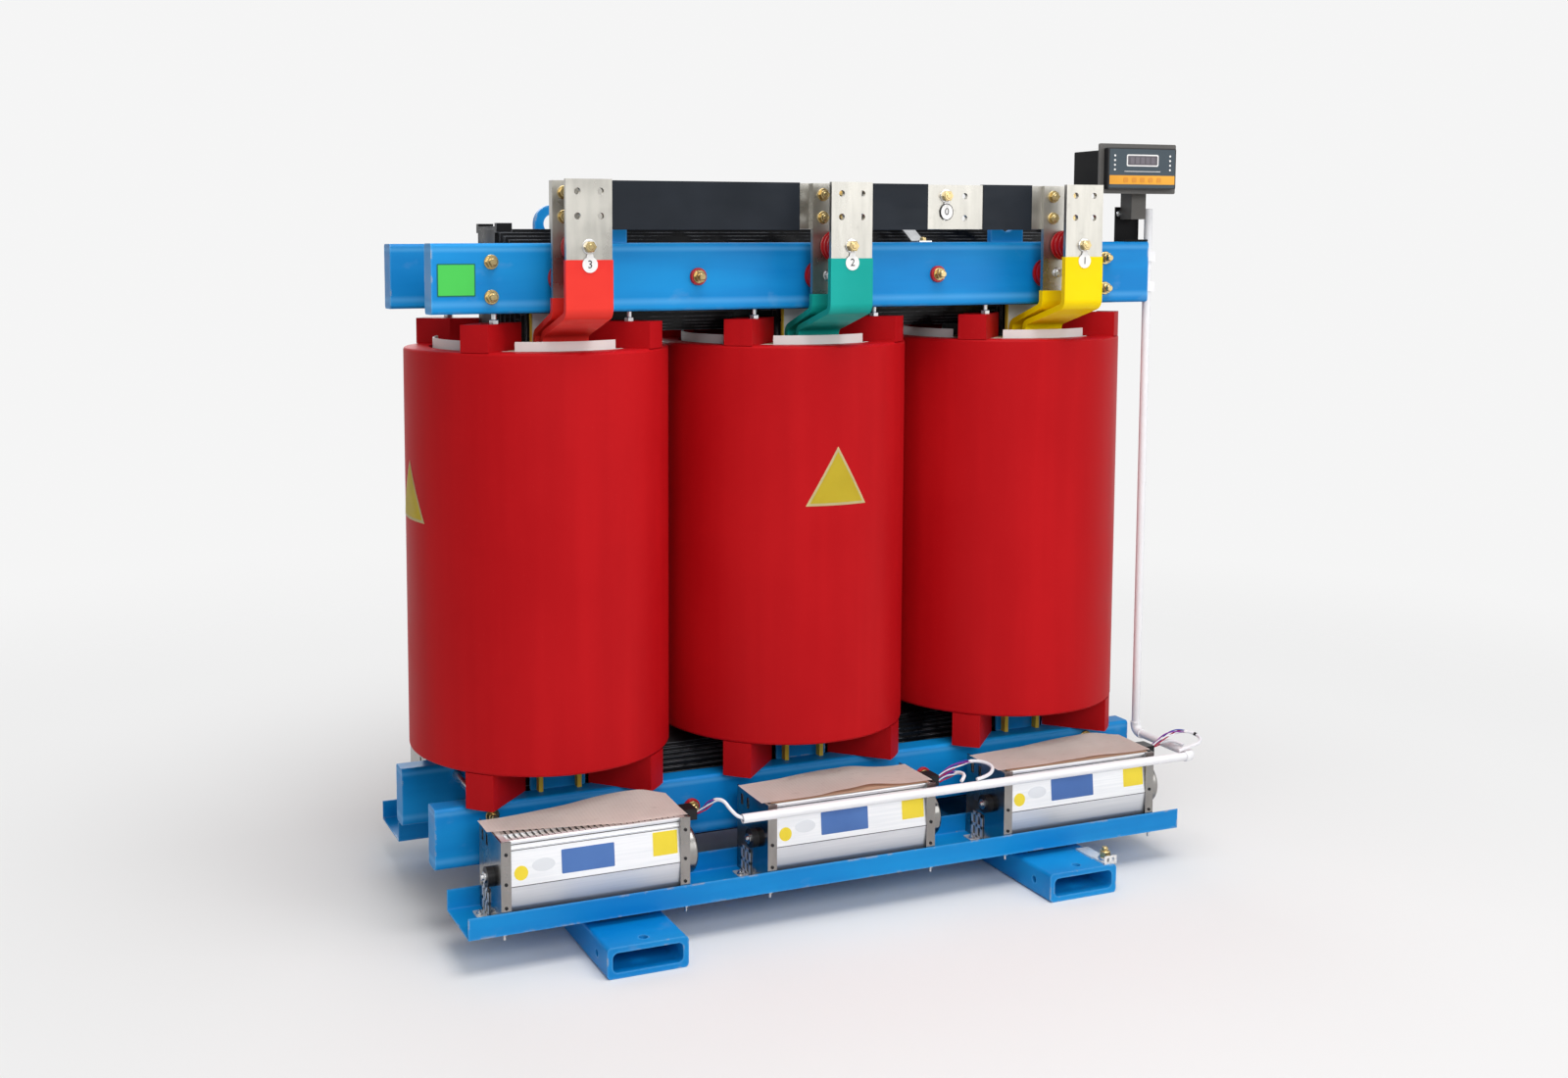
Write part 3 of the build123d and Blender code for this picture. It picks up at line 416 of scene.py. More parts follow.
SLOT_FINISH = {
    "clamp_paint": BLUE,
    "base_paint": enamel("base_enamel", (0.001, 0.200, 0.55), (0.006, 0.265, 0.63), 1.0),
    "core_paint": core_varnish(),
    "black_insulation": plastic("black_board", (0.008, 0.008, 0.009), (0.016, 0.016, 0.018), 0.5),
    "cast_resin": casting_resin("coil_resin", (0.475, 0.006, 0.009), (0.42, 0.004, 0.007), 0.42),
    "winding": winding_tape(),
    "pad_resin": casting_resin("pad_resin", (0.455, 0.006, 0.009), (0.39, 0.004, 0.007), 0.46),
    "white_board": plastic("white_board", (0.80, 0.80, 0.78), (0.72, 0.73, 0.72), 0.42),
    "yellow_stick": YELLOW_STICK,
    "zinc_steel": BRIGHT_ZINC,
    "tinned_bar": plated(
        "tinned_bar", (0.47, 0.455, 0.415), (0.37, 0.36, 0.33), 0.29, (1, 1, 0.16), 60.0, 0.25, 0.94),
    "red_sleeve": shrink_sleeve("red_sleeve", (0.78, 0.042, 0.030), (0.70, 0.030, 0.024)),
    "green_sleeve": shrink_sleeve("green_sleeve", (0.010, 0.36, 0.315), (0.006, 0.32, 0.275)),
    "yellow_sleeve": shrink_sleeve("yellow_sleeve", (0.92, 0.665, 0.0005), (0.85, 0.60, 0.0005)),
    "black_sleeve": shrink_sleeve("black_sleeve", (0.010, 0.013, 0.018), (0.016, 0.020, 0.027)),
    "insulator_red": INSULATOR,
    "brass": BRASS,
    "fan_sheet": ALUMINIUM,
    "fan_grey": plated(
        "zinc_sheet", (0.35, 0.34, 0.325), (0.28, 0.272, 0.26), 0.22, (1, 1, 0.3), 60.0, 0.2),
    "black_plastic": BLACK_PLASTIC,
    "rubber": plastic("black_rubber", (0.018, 0.018, 0.019), (0.028, 0.028, 0.028), 0.7, 90.0),
    "cardboard": BOARD,
    "controller_black": plastic(
        "case_black", (0.0015, 0.0015, 0.002), (0.004, 0.004, 0.005), 0.5, 320.0, shine=0.1),
    "controller_face": controller_skin(),
    "stand_grey": plastic("post_grey", (0.085, 0.080, 0.074), (0.105, 0.10, 0.093), 0.5, 200.0),
    "conduit_white": plastic("conduit_white", (0.83, 0.83, 0.85), (0.78, 0.79, 0.81), 0.3, 60.0),
    "lead_white": SHEATH,
}


def dress_nodes():
    """Each solid in its slot's finish; the earth plate is duller than the other zinc."""
    for part in frame["record"]["subparts"]:
        shown = frame["nodes"][part["node"]]
        shown.data.materials.clear()
        finish = SLOT_FINISH[part["material_slot"]]
        shown.data.materials.append(EARTH_ZINC if part["node"] == "earth_plate" else finish)


# Pieces
def placed(name, data):
    shown = bpy.data.objects.new(name, data)
    bpy.context.scene.collection.objects.link(shown)
    return shown


def plain_mesh(shown):
    """The finished mesh of an object that isn't needed any more."""
    seen = bpy.context.evaluated_depsgraph_get()
    mesh = bpy.data.meshes.new_from_object(
        shown.evaluated_get(seen), preserve_all_data_layers=True, depsgraph=seen)
    bpy.data.objects.remove(shown)
    return mesh


def give_slot(faces, slot):
    for face in faces:
        face.material_index = slot


def piece(name, mesh, slot, *finishes):
    """A finished mesh as a piece that rides on the body."""
    mesh.name = name
    for finish in finishes:
        mesh.materials.append(finish)
    mesh.shade_smooth()
    mesh.set_sharp_from_angle(angle=math.radians(32))
    shown = placed(name, mesh)
    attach(shown, BODY)
    return shown


def as_mesh(bm, recalculate=True):
    if recalculate:
        bmesh.ops.recalc_face_normals(bm, faces=bm.faces)
    mesh = bpy.data.meshes.new("made")
    bm.to_mesh(mesh)
    bm.free()
    return mesh


def add_slab(bm, outline, middle, across, up, thickness, slot=0):
    """An outline in (across, up) made into a plate that grows along across x up."""
    across = Vector(across).normalized()
    up = Vector(up).normalized()
    out = across.cross(up) * thickness
    low = [bm.verts.new(Vector(middle) + across * u + up * v) for u, v in outline]
    high = [bm.verts.new(vertex.co + out) for vertex in low]
    faces = [bm.faces.new(high), bm.faces.new(low[::-1])]
    for first in range(len(outline)):
        second = (first + 1) % len(outline)
        faces.append(bm.faces.new((low[first], low[second], high[second], high[first])))
    give_slot(faces, slot)


def rounded(width, height, radius, steps=4):
    """Outline of a rectangle with round corners, centred on zero."""
    points = []
    for quarter, (side_x, side_y) in enumerate(((1, 1), (-1, 1), (-1, -1), (1, -1))):
        for step in range(steps + 1):
            turn = math.radians(90 * (quarter + step / steps))
            points.append((
                side_x * (width / 2 - radius) + radius * math.cos(turn),
                side_y * (height / 2 - radius) + radius * math.sin(turn)))
    return points


def oval(width, height, steps=28):
    turns = [2 * math.pi * step / steps for step in range(steps)]
    return [(width / 2 * math.cos(turn), height / 2 * math.sin(turn)) for turn in turns]


# Repeated pieces
def inputs_of(graph, sizes):
    """The tree's group input, with one named input for each size."""
    face = graph.tree.interface
    face.new_socket("Geometry", in_out="INPUT", socket_type="NodeSocketGeometry")
    for name, kind in sizes.items():
        face.new_socket(name, in_out="INPUT", socket_type="NodeSocket" + kind)
    face.new_socket("Geometry", in_out="OUTPUT", socket_type="NodeSocketGeometry")
    start = graph.tree.nodes.new("NodeGroupInput")
    return {socket.name: Wire(graph, socket) for socket in start.outputs if socket.name}


def close_tree(graph, instances, finish):
    whole = graph.node("GeometryNodeRealizeInstances", {"Geometry": instances})
    whole = graph.node("GeometryNodeSetMaterial", {"Geometry": whole, "Material": finish})
    end = graph.tree.nodes.new("NodeGroupOutput")
    graph.join(whole, end.inputs["Geometry"])


def on_points(graph, points, instance):
    """Copies that stand on the points and face along each point's own facing."""
    facing = graph.node("GeometryNodeInputNamedAttribute", {"Name": "facing"}, data_type="FLOAT_VECTOR")
    turn = graph.node("FunctionNodeAlignRotationToVector", {"Vector": facing}, axis="Z")
    return graph.node(
        "GeometryNodeInstanceOnPoints", {"Points": points, "Instance": instance, "Rotation": turn})


def stack(graph, sides, radius, height, base, narrow=None):
    """A short prism or cone that stands on its base."""
    if narrow is None:
        body = graph.node(
            "GeometryNodeMeshCylinder", {"Vertices": sides, "Radius": radius, "Depth": height}, out="Mesh")
        lift = graph.node("ShaderNodeCombineXYZ", {"Z": base + height / 2})
    else:
        body = graph.node(
            "GeometryNodeMeshCone",
            {"Vertices": sides, "Radius Top": narrow, "Radius Bottom": radius, "Depth": height}, out="Mesh")
        lift = graph.node("ShaderNodeCombineXYZ", {"Z": base})
    return graph.node("GeometryNodeTransform", {"Geometry": body, "Translation": lift})


def fastener_tree():
    """Hex head or nut with a chamfered crown and the end of its thread."""
    graph = Graph(bpy.data.node_groups.new("fastener", "GeometryNodeTree"))
    size = inputs_of(graph, {
        "Sides": "Int", "Head Radius": "Float", "Head Height": "Float", "Head Base": "Float",
        "Thread Radius": "Float", "Thread Height": "Float", "Finish": "Material"})
    radius, height, base = size["Head Radius"], size["Head Height"], size["Head Base"]
    head = stack(graph, size["Sides"], radius, height * 0.85, base)
    crown = stack(graph, 18, radius * 0.86, height * 0.15, base + height * 0.85, radius * 0.76)
    core, end = size["Thread Radius"], size["Thread Height"]
    thread = stack(graph, 14, core, end, 0.0)
    tip = stack(graph, 14, core, core * 0.2, end, core * 0.8)
    whole = graph.node("GeometryNodeJoinGeometry", {"Geometry": [tip, thread, crown, head]})
    close_tree(graph, on_points(graph, size["Geometry"], whole), size["Finish"])
    return graph.tree


def washer_tree():
    """Flat round washer with a slightly smaller upper face."""
    graph = Graph(bpy.data.node_groups.new("washer", "GeometryNodeTree"))
    size = inputs_of(graph, {"Radius": "Float", "Base": "Float", "Height": "Float", "Finish": "Material"})
    radius, height, base = size["Radius"], size["Height"], size["Base"]
    body = stack(graph, 28, radius, height * 0.75, base)
    rim = stack(graph, 28, radius, height * 0.25, base + height * 0.75, radius * 0.94)
    whole = graph.node("GeometryNodeJoinGeometry", {"Geometry": [rim, body]})
    close_tree(graph, on_points(graph, size["Geometry"], whole), size["Finish"])
    return graph.tree


def row_tree():
    """A row of thin plates along X through each point."""
    graph = Graph(bpy.data.node_groups.new("plate_row", "GeometryNodeTree"))
    size = inputs_of(graph, {"Count": "Int", "Pitch": "Float", "Plate": "Vector", "Finish": "Material"})
    first = graph.node("ShaderNodeCombineXYZ", {"X": (size["Count"] - 1) * size["Pitch"] * -0.5})
    step = graph.node("ShaderNodeCombineXYZ", {"X": size["Pitch"]})
    line = graph.node(
        "GeometryNodeMeshLine", {"Count": size["Count"], "Start Location": first, "Offset": step},
        mode="OFFSET")
    plate = graph.node("GeometryNodeMeshCube", {"Size": size["Plate"]}, out="Mesh")
    row = graph.node("GeometryNodeInstanceOnPoints", {"Points": line, "Instance": plate})
    rows = graph.node("GeometryNodeInstanceOnPoints", {"Points": size["Geometry"], "Instance": row})
    close_tree(graph, rows, size["Finish"])
    return graph.tree


def blade_tree():
    """Blades of a cross-flow rotor: thin slats round its axis."""
    graph = Graph(bpy.data.node_groups.new("rotor_blades", "GeometryNodeTree"))
    size = inputs_of(graph, {
        "Count": "Int", "Radius": "Float", "Blade": "Vector", "Lean": "Float", "Finish": "Material"})
    rim = graph.node(
        "GeometryNodeMeshCircle", {"Vertices": size["Count"], "Radius": size["Radius"]}, fill_type="NONE")
    step = graph.node("GeometryNodeInputIndex") * (2 * math.pi) / size["Count"]
    turn = graph.node("ShaderNodeCombineXYZ", {"Z": step + size["Lean"]})
    blade = graph.node("GeometryNodeMeshCube", {"Size": size["Blade"]}, out="Mesh")
    ring = graph.node(
        "GeometryNodeInstanceOnPoints", {"Points": rim, "Instance": blade, "Rotation": turn})
    close_tree(graph, on_points(graph, size["Geometry"], ring), size["Finish"])
    return graph.tree


FASTENER = fastener_tree()
WASHER = washer_tree()
ROW = row_tree()
BLADES = blade_tree()


def grow(name, tree, places, slot, **values):
    """Runs a tree on a set of (place, facing) and keeps the result as one plain mesh."""
    seed = bpy.data.meshes.new(name + "_points")
    seed.from_pydata([place for place, facing in places], [], [])
    facings = seed.attributes.new("facing", "FLOAT_VECTOR", "POINT")
    facings.data.foreach_set("vector", [value for place, facing in places for value in facing])
    grown = placed(name + "_points", seed)
    modifier = grown.modifiers.new("grow", "NODES")
    modifier.node_group = tree
    for item in tree.interface.items_tree:
        key = item.name.replace(" ", "_")
        if item.in_out == "INPUT" and key in values:
            modifier[item.identifier] = values[key]
    return piece(name, plain_mesh(grown), slot)


def bolts(
        name, places, head, height, finish, washer=None, thread=None, base=0.0, sides=6, slot="zinc_steel",
        under=None):
    """Hex fasteners at the given places, on washers of (radius, thickness)."""
    if washer:
        grow(
            name + "_washers", WASHER, places, slot,
            Radius=washer[0], Base=base, Height=washer[1], Finish=under or finish)
        base = base + washer[1]
    thread_radius, thread_height = thread or (head * 0.5, base + height)
    return grow(
        name, FASTENER, places, slot, Sides=sides, Head_Radius=head, Head_Height=height, Head_Base=base,
        Thread_Radius=thread_radius, Thread_Height=thread_height, Finish=finish)


def mirrored(places):
    """The places and their mirror images on the rear side."""
    return places + [((x, -y, z), (fx, -fy, fz)) for (x, y, z), (fx, fy, fz) in places]


# Clamp fasteners
M16_HEAD = (12.5 * MM, 10 * MM)
TIE_RADIUS = 9 * MM
UPPER_TIE_SHARES = (0.735, 0.24)
LOWER_TIE_SHARES = (0.8, 0.25)
WASHER_STAND = 8 * MM


def clamp_bolts():
    tie_low, tie_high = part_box("tie_rods")
    ends = []
    middles = []
    for low, high, shares in (
            (UPPER_LOW, UPPER_HIGH, UPPER_TIE_SHARES), (LOWER_LOW, LOWER_HIGH, LOWER_TIE_SHARES)):
        height = high.z - low.z
        for x in (tie_low.x + TIE_RADIUS, tie_high.x - TIE_RADIUS):
            ends += [((x, low.y, low.z + share * height), FRONT) for share in shares]
        for side in (-0.5, 0.5):
            middles.append(((MIDDLE_X + side * PITCH, low.y, low.z + height / 2), FRONT))
    bolts(
        "clamp_end_bolts", mirrored(ends), *M16_HEAD, GOLD_ZINC,
        washer=(15.5 * MM, 3.5 * MM), thread=(8 * MM, 22 * MM))
    grow(
        "insulating_washers", WASHER, mirrored(middles), "insulator_red",
        Radius=19 * MM, Base=0.0, Height=WASHER_STAND, Finish=INSULATOR)
    bolts(
        "clamp_middle_bolts", mirrored(middles), *M16_HEAD, GOLD_ZINC,
        washer=(14.5 * MM, 3 * MM), thread=(8 * MM, 28 * MM), base=WASHER_STAND)


def jack_bolts():
    """Hex jack bolts between the upper pads and clamps."""
    low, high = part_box("jack_bolts")
    nut = 11 * MM
    y = low.y + nut
    step = PHASE_X[0] - (low.x + nut)
    places = [((x + side * step, y, low.z), UP) for x, side in PHASE_SIDES]
    shown = bolts(
        "jack_bolt_set", mirrored(places), nut, 9 * MM, BRIGHT_ZINC,
        thread=(6 * MM, high.z - low.z - 1.2 * MM))
    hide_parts("jack_bolts")


# Earthing strip
STRIP_WIDTH = 33 * MM


def core_strip():
    """Bent zinc strip that earths the core: from the upper front clamp up to the yoke's top step."""
    foot = UPPER_HIGH.z + 0.2 * MM
    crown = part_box("core_yokes")[1].z + 0.2 * MM
    front = UPPER_LOW.y + 10 * MM
    rise = UPPER_LOW.y + 46 * MM
    land = rise + 47 * MM
    end = -30 * MM
    thick = 3 * MM
    start = NEUTRAL.x - 60 * MM
    profile = [
        (front, foot), (rise, foot), (land, crown), (end, crown), (end, crown + thick),
        (land - 1 * MM, crown + thick), (rise - 1 * MM, foot + thick), (front, foot + thick)]
    bm = bmesh.new()
    add_slab(bm, profile, (start, 0, 0), REAR, UP, STRIP_WIDTH)
    piece("core_strip", as_mesh(bm), "zinc_steel", BRIGHT_ZINC)
    bolts(
        "strip_screw", [((start + 20 * MM, front + 18 * MM, foot + thick), UP)], 8 * MM, 6 * MM, GOLD_ZINC,
        washer=(10 * MM, 1.5 * MM))


# Low-voltage bars
HOLE_STEP = 25 * MM
INSULATOR_RADIUS = 34 * MM
CLAMP_INSULATOR_STEP = 10 * MM
TAG_DROP = 36 * MM
TAG_RADIUS = 16.5 * MM
TAG_NECK = TAG_DROP - 9 * MM
NEUTRAL_NUMERAL = "0"


def bar_bolts():
    line = []
    risers = []
    joints = []
    upper = INSULATOR_HIGH.z - INSULATOR_RADIUS
    lower = INSULATOR_LOW.z + INSULATOR_RADIUS
    for x in PHASE_X:
        line.append(((x, BAR_FACE, upper), FRONT))
        risers.append(((x - CLAMP_INSULATOR_STEP, RISER_FACE, lower), FRONT))
    for x, side in PHASE_SIDES:
        for row in (-HOLE_STEP, HOLE_STEP):
            joints.append(((x + side * HOLE_STEP, RISER_FACE, TERMINAL_Z + row), FRONT))
    line.append(((NEUTRAL.x - HOLE_STEP, NEUTRAL_FACE, NEUTRAL.z + HOLE_STEP), FRONT))
    bolts("line_bar_bolts", line, *M16_HEAD, GOLD_ZINC, washer=(15.5 * MM, 2.5 * MM), under=BRIGHT_ZINC)
    bolts("riser_bolts", risers, 11 * MM, 8 * MM, BRIGHT_ZINC, washer=(13 * MM, 2.5 * MM))
    bolts("neutral_joint_bolts", joints, 11.5 * MM, 9 * MM, GOLD_ZINC, washer=(14 * MM, 2.5 * MM))
    return line


def numeral(text, size, middle):
    """A plain numeral that faces the low-voltage side, as a thin mesh."""
    curve = bpy.data.curves.new("numeral", "FONT")
    curve.body = text
    curve.size = size
    curve.align_x = "CENTER"
    curve.align_y = "CENTER"
    curve.extrude = 0.15 * MM
    curve.resolution_u = 3
    mesh = plain_mesh(placed("numeral", curve))
    mesh.transform(Matrix.Translation(middle) @ Matrix.Rotation(math.radians(90), 4, "X"))
    return mesh


def tag_outline(radius, neck):
    """A round tag with a narrow neck up to its bolt."""
    points = []
    for step in range(25):
        turn = math.radians(118 + 304 * step / 24)
        points.append((radius * math.cos(turn), radius * math.sin(turn)))
    return points + [(radius * 0.28, neck), (-radius * 0.28, neck)]


def tags(line):
    """Tags that hang from the bar bolts, with plain numerals, and a ring on the neutral one."""
    bm = bmesh.new()
    ink = bmesh.new()
    for (place, facing), text in zip(line, ("3", "2", "1", NEUTRAL_NUMERAL)):
        middle = Vector(place) + Vector((0.6 * MM, -2.2 * MM, -TAG_DROP))
        add_slab(bm, tag_outline(TAG_RADIUS, TAG_NECK), middle, RIGHT, UP, 0.8 * MM)
        if text == NEUTRAL_NUMERAL:
            add_slab(bm, oval(34 * MM, 38 * MM), middle, RIGHT, UP, 0.95 * MM, 1)
            add_slab(bm, oval(30.5 * MM, 34.5 * MM), middle, RIGHT, UP, 1.05 * MM)
        ink.from_mesh(numeral(text, 23 * MM, middle + Vector((0, -1.15 * MM, 0))))
    piece("terminal_tags", as_mesh(bm), "white_board", TAG_WHITE, BLACK_PLASTIC)
    piece("tag_numerals", as_mesh(ink, False), "black_plastic", BLACK_PLASTIC)


def board_edges():
    """Yellow glass-fibre edges on the lead boards."""
    low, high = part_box("lead_boards")
    half = low.x - PHASE_X[0]
    bm = bmesh.new()
    for x in PHASE_X:
        middle = (x + half - 1.5 * MM, (low.y + high.y) / 2, (low.z + high.z) / 2)
        add_slab(bm, rounded(9 * MM, high.z - low.z, 1.2 * MM), middle, FRONT, UP, 3 * MM)
    piece("board_edges", as_mesh(bm), "yellow_stick", YELLOW_STICK)


# Bare plates
def clamp_plate():
    """Bare green plate with a darker rim on the upper front clamp."""
    wide = 82 * MM
    tall = 68 * MM
    rim = 2.5 * MM
    middle = Vector((UPPER_LOW.x + 53 * MM, UPPER_LOW.y, UPPER_LOW.z + 71 * MM))
    bm = bmesh.new()
    add_slab(bm, rounded(wide, tall, 2 * MM), middle, RIGHT, UP, 0.8 * MM)
    inner = rounded(wide - 2 * rim, tall - 2 * rim, 1.5 * MM)
    add_slab(bm, inner, middle, RIGHT, UP, 1.1 * MM, 1)
    piece("clamp_plate", as_mesh(bm), "clamp_paint", PLATE_EDGE, PLATE_GREEN)


def add_coil_triangle(bm, phase_x, turn, base, side, lift, slot):
    """A triangular plate that follows a coil's round face."""
    rows = 10
    height = side * math.sqrt(3) / 2
    radius = COIL_RADIUS + lift
    grid = []
    for row in range(rows + 1):
        z = base + height * row / rows
        width = side * (1 - row / rows)
        steps = rows - row
        line = []
        for step in range(steps + 1):
            angle = turn + (width * (step / steps - 0.5) if steps else 0.0) / radius
            line.append(bm.verts.new((phase_x + radius * math.sin(angle), -radius * math.cos(angle), z)))
        grid.append(line)
    faces = []
    for low, high in zip(grid, grid[1:]):
        for step in range(len(high)):
            faces.append(bm.faces.new((low[step], low[step + 1], high[step])))
            if step + 1 < len(high):
                faces.append(bm.faces.new((low[step + 1], high[step + 1], high[step])))
    give_slot(faces, slot)
    bmesh.ops.solidify(bm, geom=faces, thickness=lift)


def coil_plates():
    """Bare three-cornered plates on the left-hand and middle coils."""
    bm = bmesh.new()
    for phase_x, turn, base in (
            (PHASE_X[0], math.radians(-88), COIL_LOW.z + 524 * MM),
            (PHASE_X[1], math.radians(0.2), COIL_LOW.z + 542 * MM)):
        add_coil_triangle(bm, phase_x, turn, base, 152 * MM, 0.6 * MM, 0)
        add_coil_triangle(bm, phase_x, turn, base + 6 * MM, 132 * MM, 0.9 * MM, 1)
    piece("coil_plates", as_mesh(bm), "cast_resin", PLATE_CREAM, PLATE_YELLOW)


# Fan units
def panel_point(x, down):
    """A place on a fan's slanted front panel, from its top edge down to the crease."""
    back, rise = PANEL_TOP_SHARES
    top = Vector((x, FAN_FRONT + back * FAN_DEPTH, FAN_BASE + rise * FAN_HEIGHT))
    crease = Vector((x, FAN_FRONT, FAN_BASE + CREASE_SHARE * FAN_HEIGHT))
    return top.lerp(crease, down)


PANEL_UP = panel_point(0, 0) - panel_point(0, 1)
PANEL_LENGTH = FAN_LENGTH - 2 * FLANGE_WIDTH
# Each mark: place along the panel, place down it, outline and number of its finish
PANEL_MARKS = (
    (0.060, 0.72, oval(30 * MM, 30 * MM), 0),
    (0.190, 0.60, oval(50 * MM, 27 * MM), 1),
    (0.450, 0.60, rounded(117 * MM, 50 * MM, 2 * MM), 2),
    (0.912, 0.52, rounded(56 * MM, 50 * MM, 1.5 * MM), 0),
)


def fan_marks():
    """Bare plates and spots on the fan panels."""
    bm = bmesh.new()
    for x in PHASE_X:
        for along, down, outline, slot in PANEL_MARKS:
            middle = panel_point(x + (along - 0.5) * PANEL_LENGTH, down)
            add_slab(bm, outline, middle, RIGHT, PANEL_UP, 0.5 * MM, slot)
    piece("fan_marks", as_mesh(bm), "fan_sheet", PLATE_YELLOW, PLATE_PALE, PLATE_BLUE)


def with_rear(bm):
    """The mesh with its mirror image on the rear side."""
    rear = bm.copy()
    bmesh.ops.transform(rear, matrix=Matrix.Scale(-1, 4, REAR), verts=rear.verts)
    bmesh.ops.reverse_faces(rear, faces=rear.faces)
    bm.from_mesh(as_mesh(rear))
    return as_mesh(bm)


def fan_rails():
    """Two round ribs along the top of each fan panel, with dark strips of painted shadow under them and of
    painted shade at the crease.
    """
    bm = bmesh.new()
    for x in PHASE_X:
        for down, radius in ((0.02, 4.0 * MM), (0.17, 2.4 * MM)):
            ends = [panel_point(x + side * PANEL_LENGTH / 2, down) for side in (-1, 1)]
            add_tube(bm, frames_along(ends), radius, 0)
        # Painted shadow: thin dark strips under the two ribs, and one along the crease for its shade.
        for down, width in ((0.085, 2.2 * MM), (0.215, 1.4 * MM), (1.0, 1.6 * MM)):
            strip = rounded(PANEL_LENGTH, width, width / 3)
            add_slab(bm, strip, panel_point(x, down), RIGHT, PANEL_UP, 0.6 * MM, 1)
    piece("fan_rails", with_rear(bm), "fan_sheet", RAIL, PAINTED_SHADOW_GREY)


def add_slotted_plate(bm, middle, across, wide, tall, posts, post_share, bars, bar_share):
    """An upright plate of crossing strips, with open slots between them."""
    across = Vector(across)
    corner = 1 * MM
    for share in posts:
        place = middle + across * share * wide
        add_slab(bm, rounded(wide * post_share, tall, corner), place, across, UP, SHEET)
    for share in bars:
        place = middle + Vector(UP) * share * tall
        add_slab(bm, rounded(wide, tall * bar_share, corner), place, across, UP, SHEET * 0.9)


def fan_brackets():
    """Slotted zinc brackets that hold each fan's ends to the tray."""
    bm = bmesh.new()
    places = []
    tall = 62 * MM
    wide = 46 * MM
    flange = 22 * MM
    for x, side in PHASE_SIDES:
        foot = Vector((
            x + side * (FAN_LENGTH / 2 + 3 * MM), FAN_FRONT + 0.68 * FAN_DEPTH, FAN_BASE + 0.5 * MM))
        add_slotted_plate(
            bm, foot + Vector((0, 0, tall / 2)), (0, -side, 0), wide, tall,
            (-0.42, 0.0, 0.42), 0.16, (-0.44, 0.0, 0.44), 0.12)
        middle = foot + Vector((side * flange / 2, 0, 0))
        add_slab(bm, rounded(flange, wide, 3 * MM), middle, RIGHT, REAR, SHEET)
        places.append((foot + Vector((side * 13 * MM, 0, SHEET)), UP))
    piece("fan_brackets", with_rear(bm), "zinc_steel", EARTH_ZINC)
    bolts(
        "bracket_screws", mirrored(places), 6 * MM, 5 * MM, BRIGHT_ZINC, washer=(7.5 * MM, 1.2 * MM),
        thread=(3 * MM, 10 * MM))


def grille_shelves():
    """Pale ledges under the front of each outlet grille."""
    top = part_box("fan_grilles")[1].z - 4.5 * MM
    bm = bmesh.new()
    for x in PHASE_X:
        middle = (x, FAN_FRONT + PANEL_TOP_SHARES[0] * FAN_DEPTH + 37 * MM, top)
        add_slab(bm, rounded(PANEL_LENGTH, 66 * MM, 1 * MM), middle, RIGHT, REAR, 1 * MM)
    piece("grille_shelves", with_rear(bm), "fan_sheet", TAG_WHITE)


def fan_screws():
    places = []
    for x, side in PHASE_SIDES:
        middle = x + side * (FAN_LENGTH - FLANGE_WIDTH) / 2
        for share in (0.86, 0.53, 0.27):
            places.append(((middle, FLANGE_FACE, FAN_BASE + share * FAN_HEIGHT), FRONT))
    bolts("fan_screws", mirrored(places), 3.6 * MM, 1.8 * MM, BLACK_PLASTIC, sides=18, slot="black_plastic")


def fan_bearing_caps():
    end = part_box("fan_bearings")[0].x - PHASE_X[0]
    places = [((x + end, AXIS_Y, AXIS_Z), LEFT) for x in PHASE_X]
    bolts("bearing_caps", mirrored(places), 12 * MM, 5 * MM, BRIGHT_ZINC, sides=22, thread=(6 * MM, 9 * MM))


def fan_grille_bars():
    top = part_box("fan_grilles")[1].z
    depth = FAN_DEPTH * (1 - 2 * PANEL_TOP_SHARES[0]) - 8 * MM
    places = [((x, FAN_FRONT + FAN_DEPTH / 2, top - 1.8 * MM), UP) for x in PHASE_X]
    grow(
        "grille_bars", ROW, mirrored(places), "black_plastic",
        Count=28, Pitch=13.4 * MM, Plate=(1.8 * MM, depth, 4 * MM), Finish=BLACK_PLASTIC)


def rotor_blades():
    places = [((x, AXIS_Y, AXIS_Z), RIGHT) for x in PHASE_X]
    grow(
        "rotor_blades", BLADES, mirrored(places), "fan_sheet", Count=26, Radius=40 * MM,
        Blade=(11 * MM, 1.0 * MM, FAN_LENGTH - 32 * MM), Lean=math.radians(28), Finish=ALUMINIUM)


def tray_screws():
    """Screw tips that come through the trays under the fan ends."""
    aside = FAN_LENGTH / 2 - 8 * MM
    y = TRAY_LOW.y + 9 * MM
    places = [((x + side * aside, y, TRAY_LOW.z), DOWN) for x, side in PHASE_SIDES]
    bolts("tray_screws", mirrored(places), 6 * MM, 4 * MM, BRIGHT_ZINC, thread=(3 * MM, 13 * MM))


# Each board: set-back of its front edge at the left and at the right, depth of the wave in the edge,
# height of the hump, and where along the board the hump stands. The slant and the wave are given as
# shares of the board's length: the slant's end, the wave's start and length. The spreads are those of
# the hump, left and right of its peak.
BOARD_SHAPES = (
    (58 * MM, 2 * MM, 0.0, 24 * MM, 0.82),
    (5 * MM, 5 * MM, 13 * MM, 13 * MM, 0.62),
    (5 * MM, 7 * MM, 4 * MM, 16 * MM, 0.78),
)
BOARD_SLANT_SHARE = 0.66
BOARD_WAVE = (0.28, 0.62)
BOARD_REACH = (-222 * MM, 206 * MM)
BOARD_DEPTH = 126 * MM
BOARD_THICKNESS = 3 * MM
BOARD_LEVEL = FAN_TOP + BOARD_THICKNESS + 1.6 * MM
BOARD_RIPPLE = 0.8 * MM
GENTLE_SPREAD = 0.42
STEEP_SPREAD = 0.16


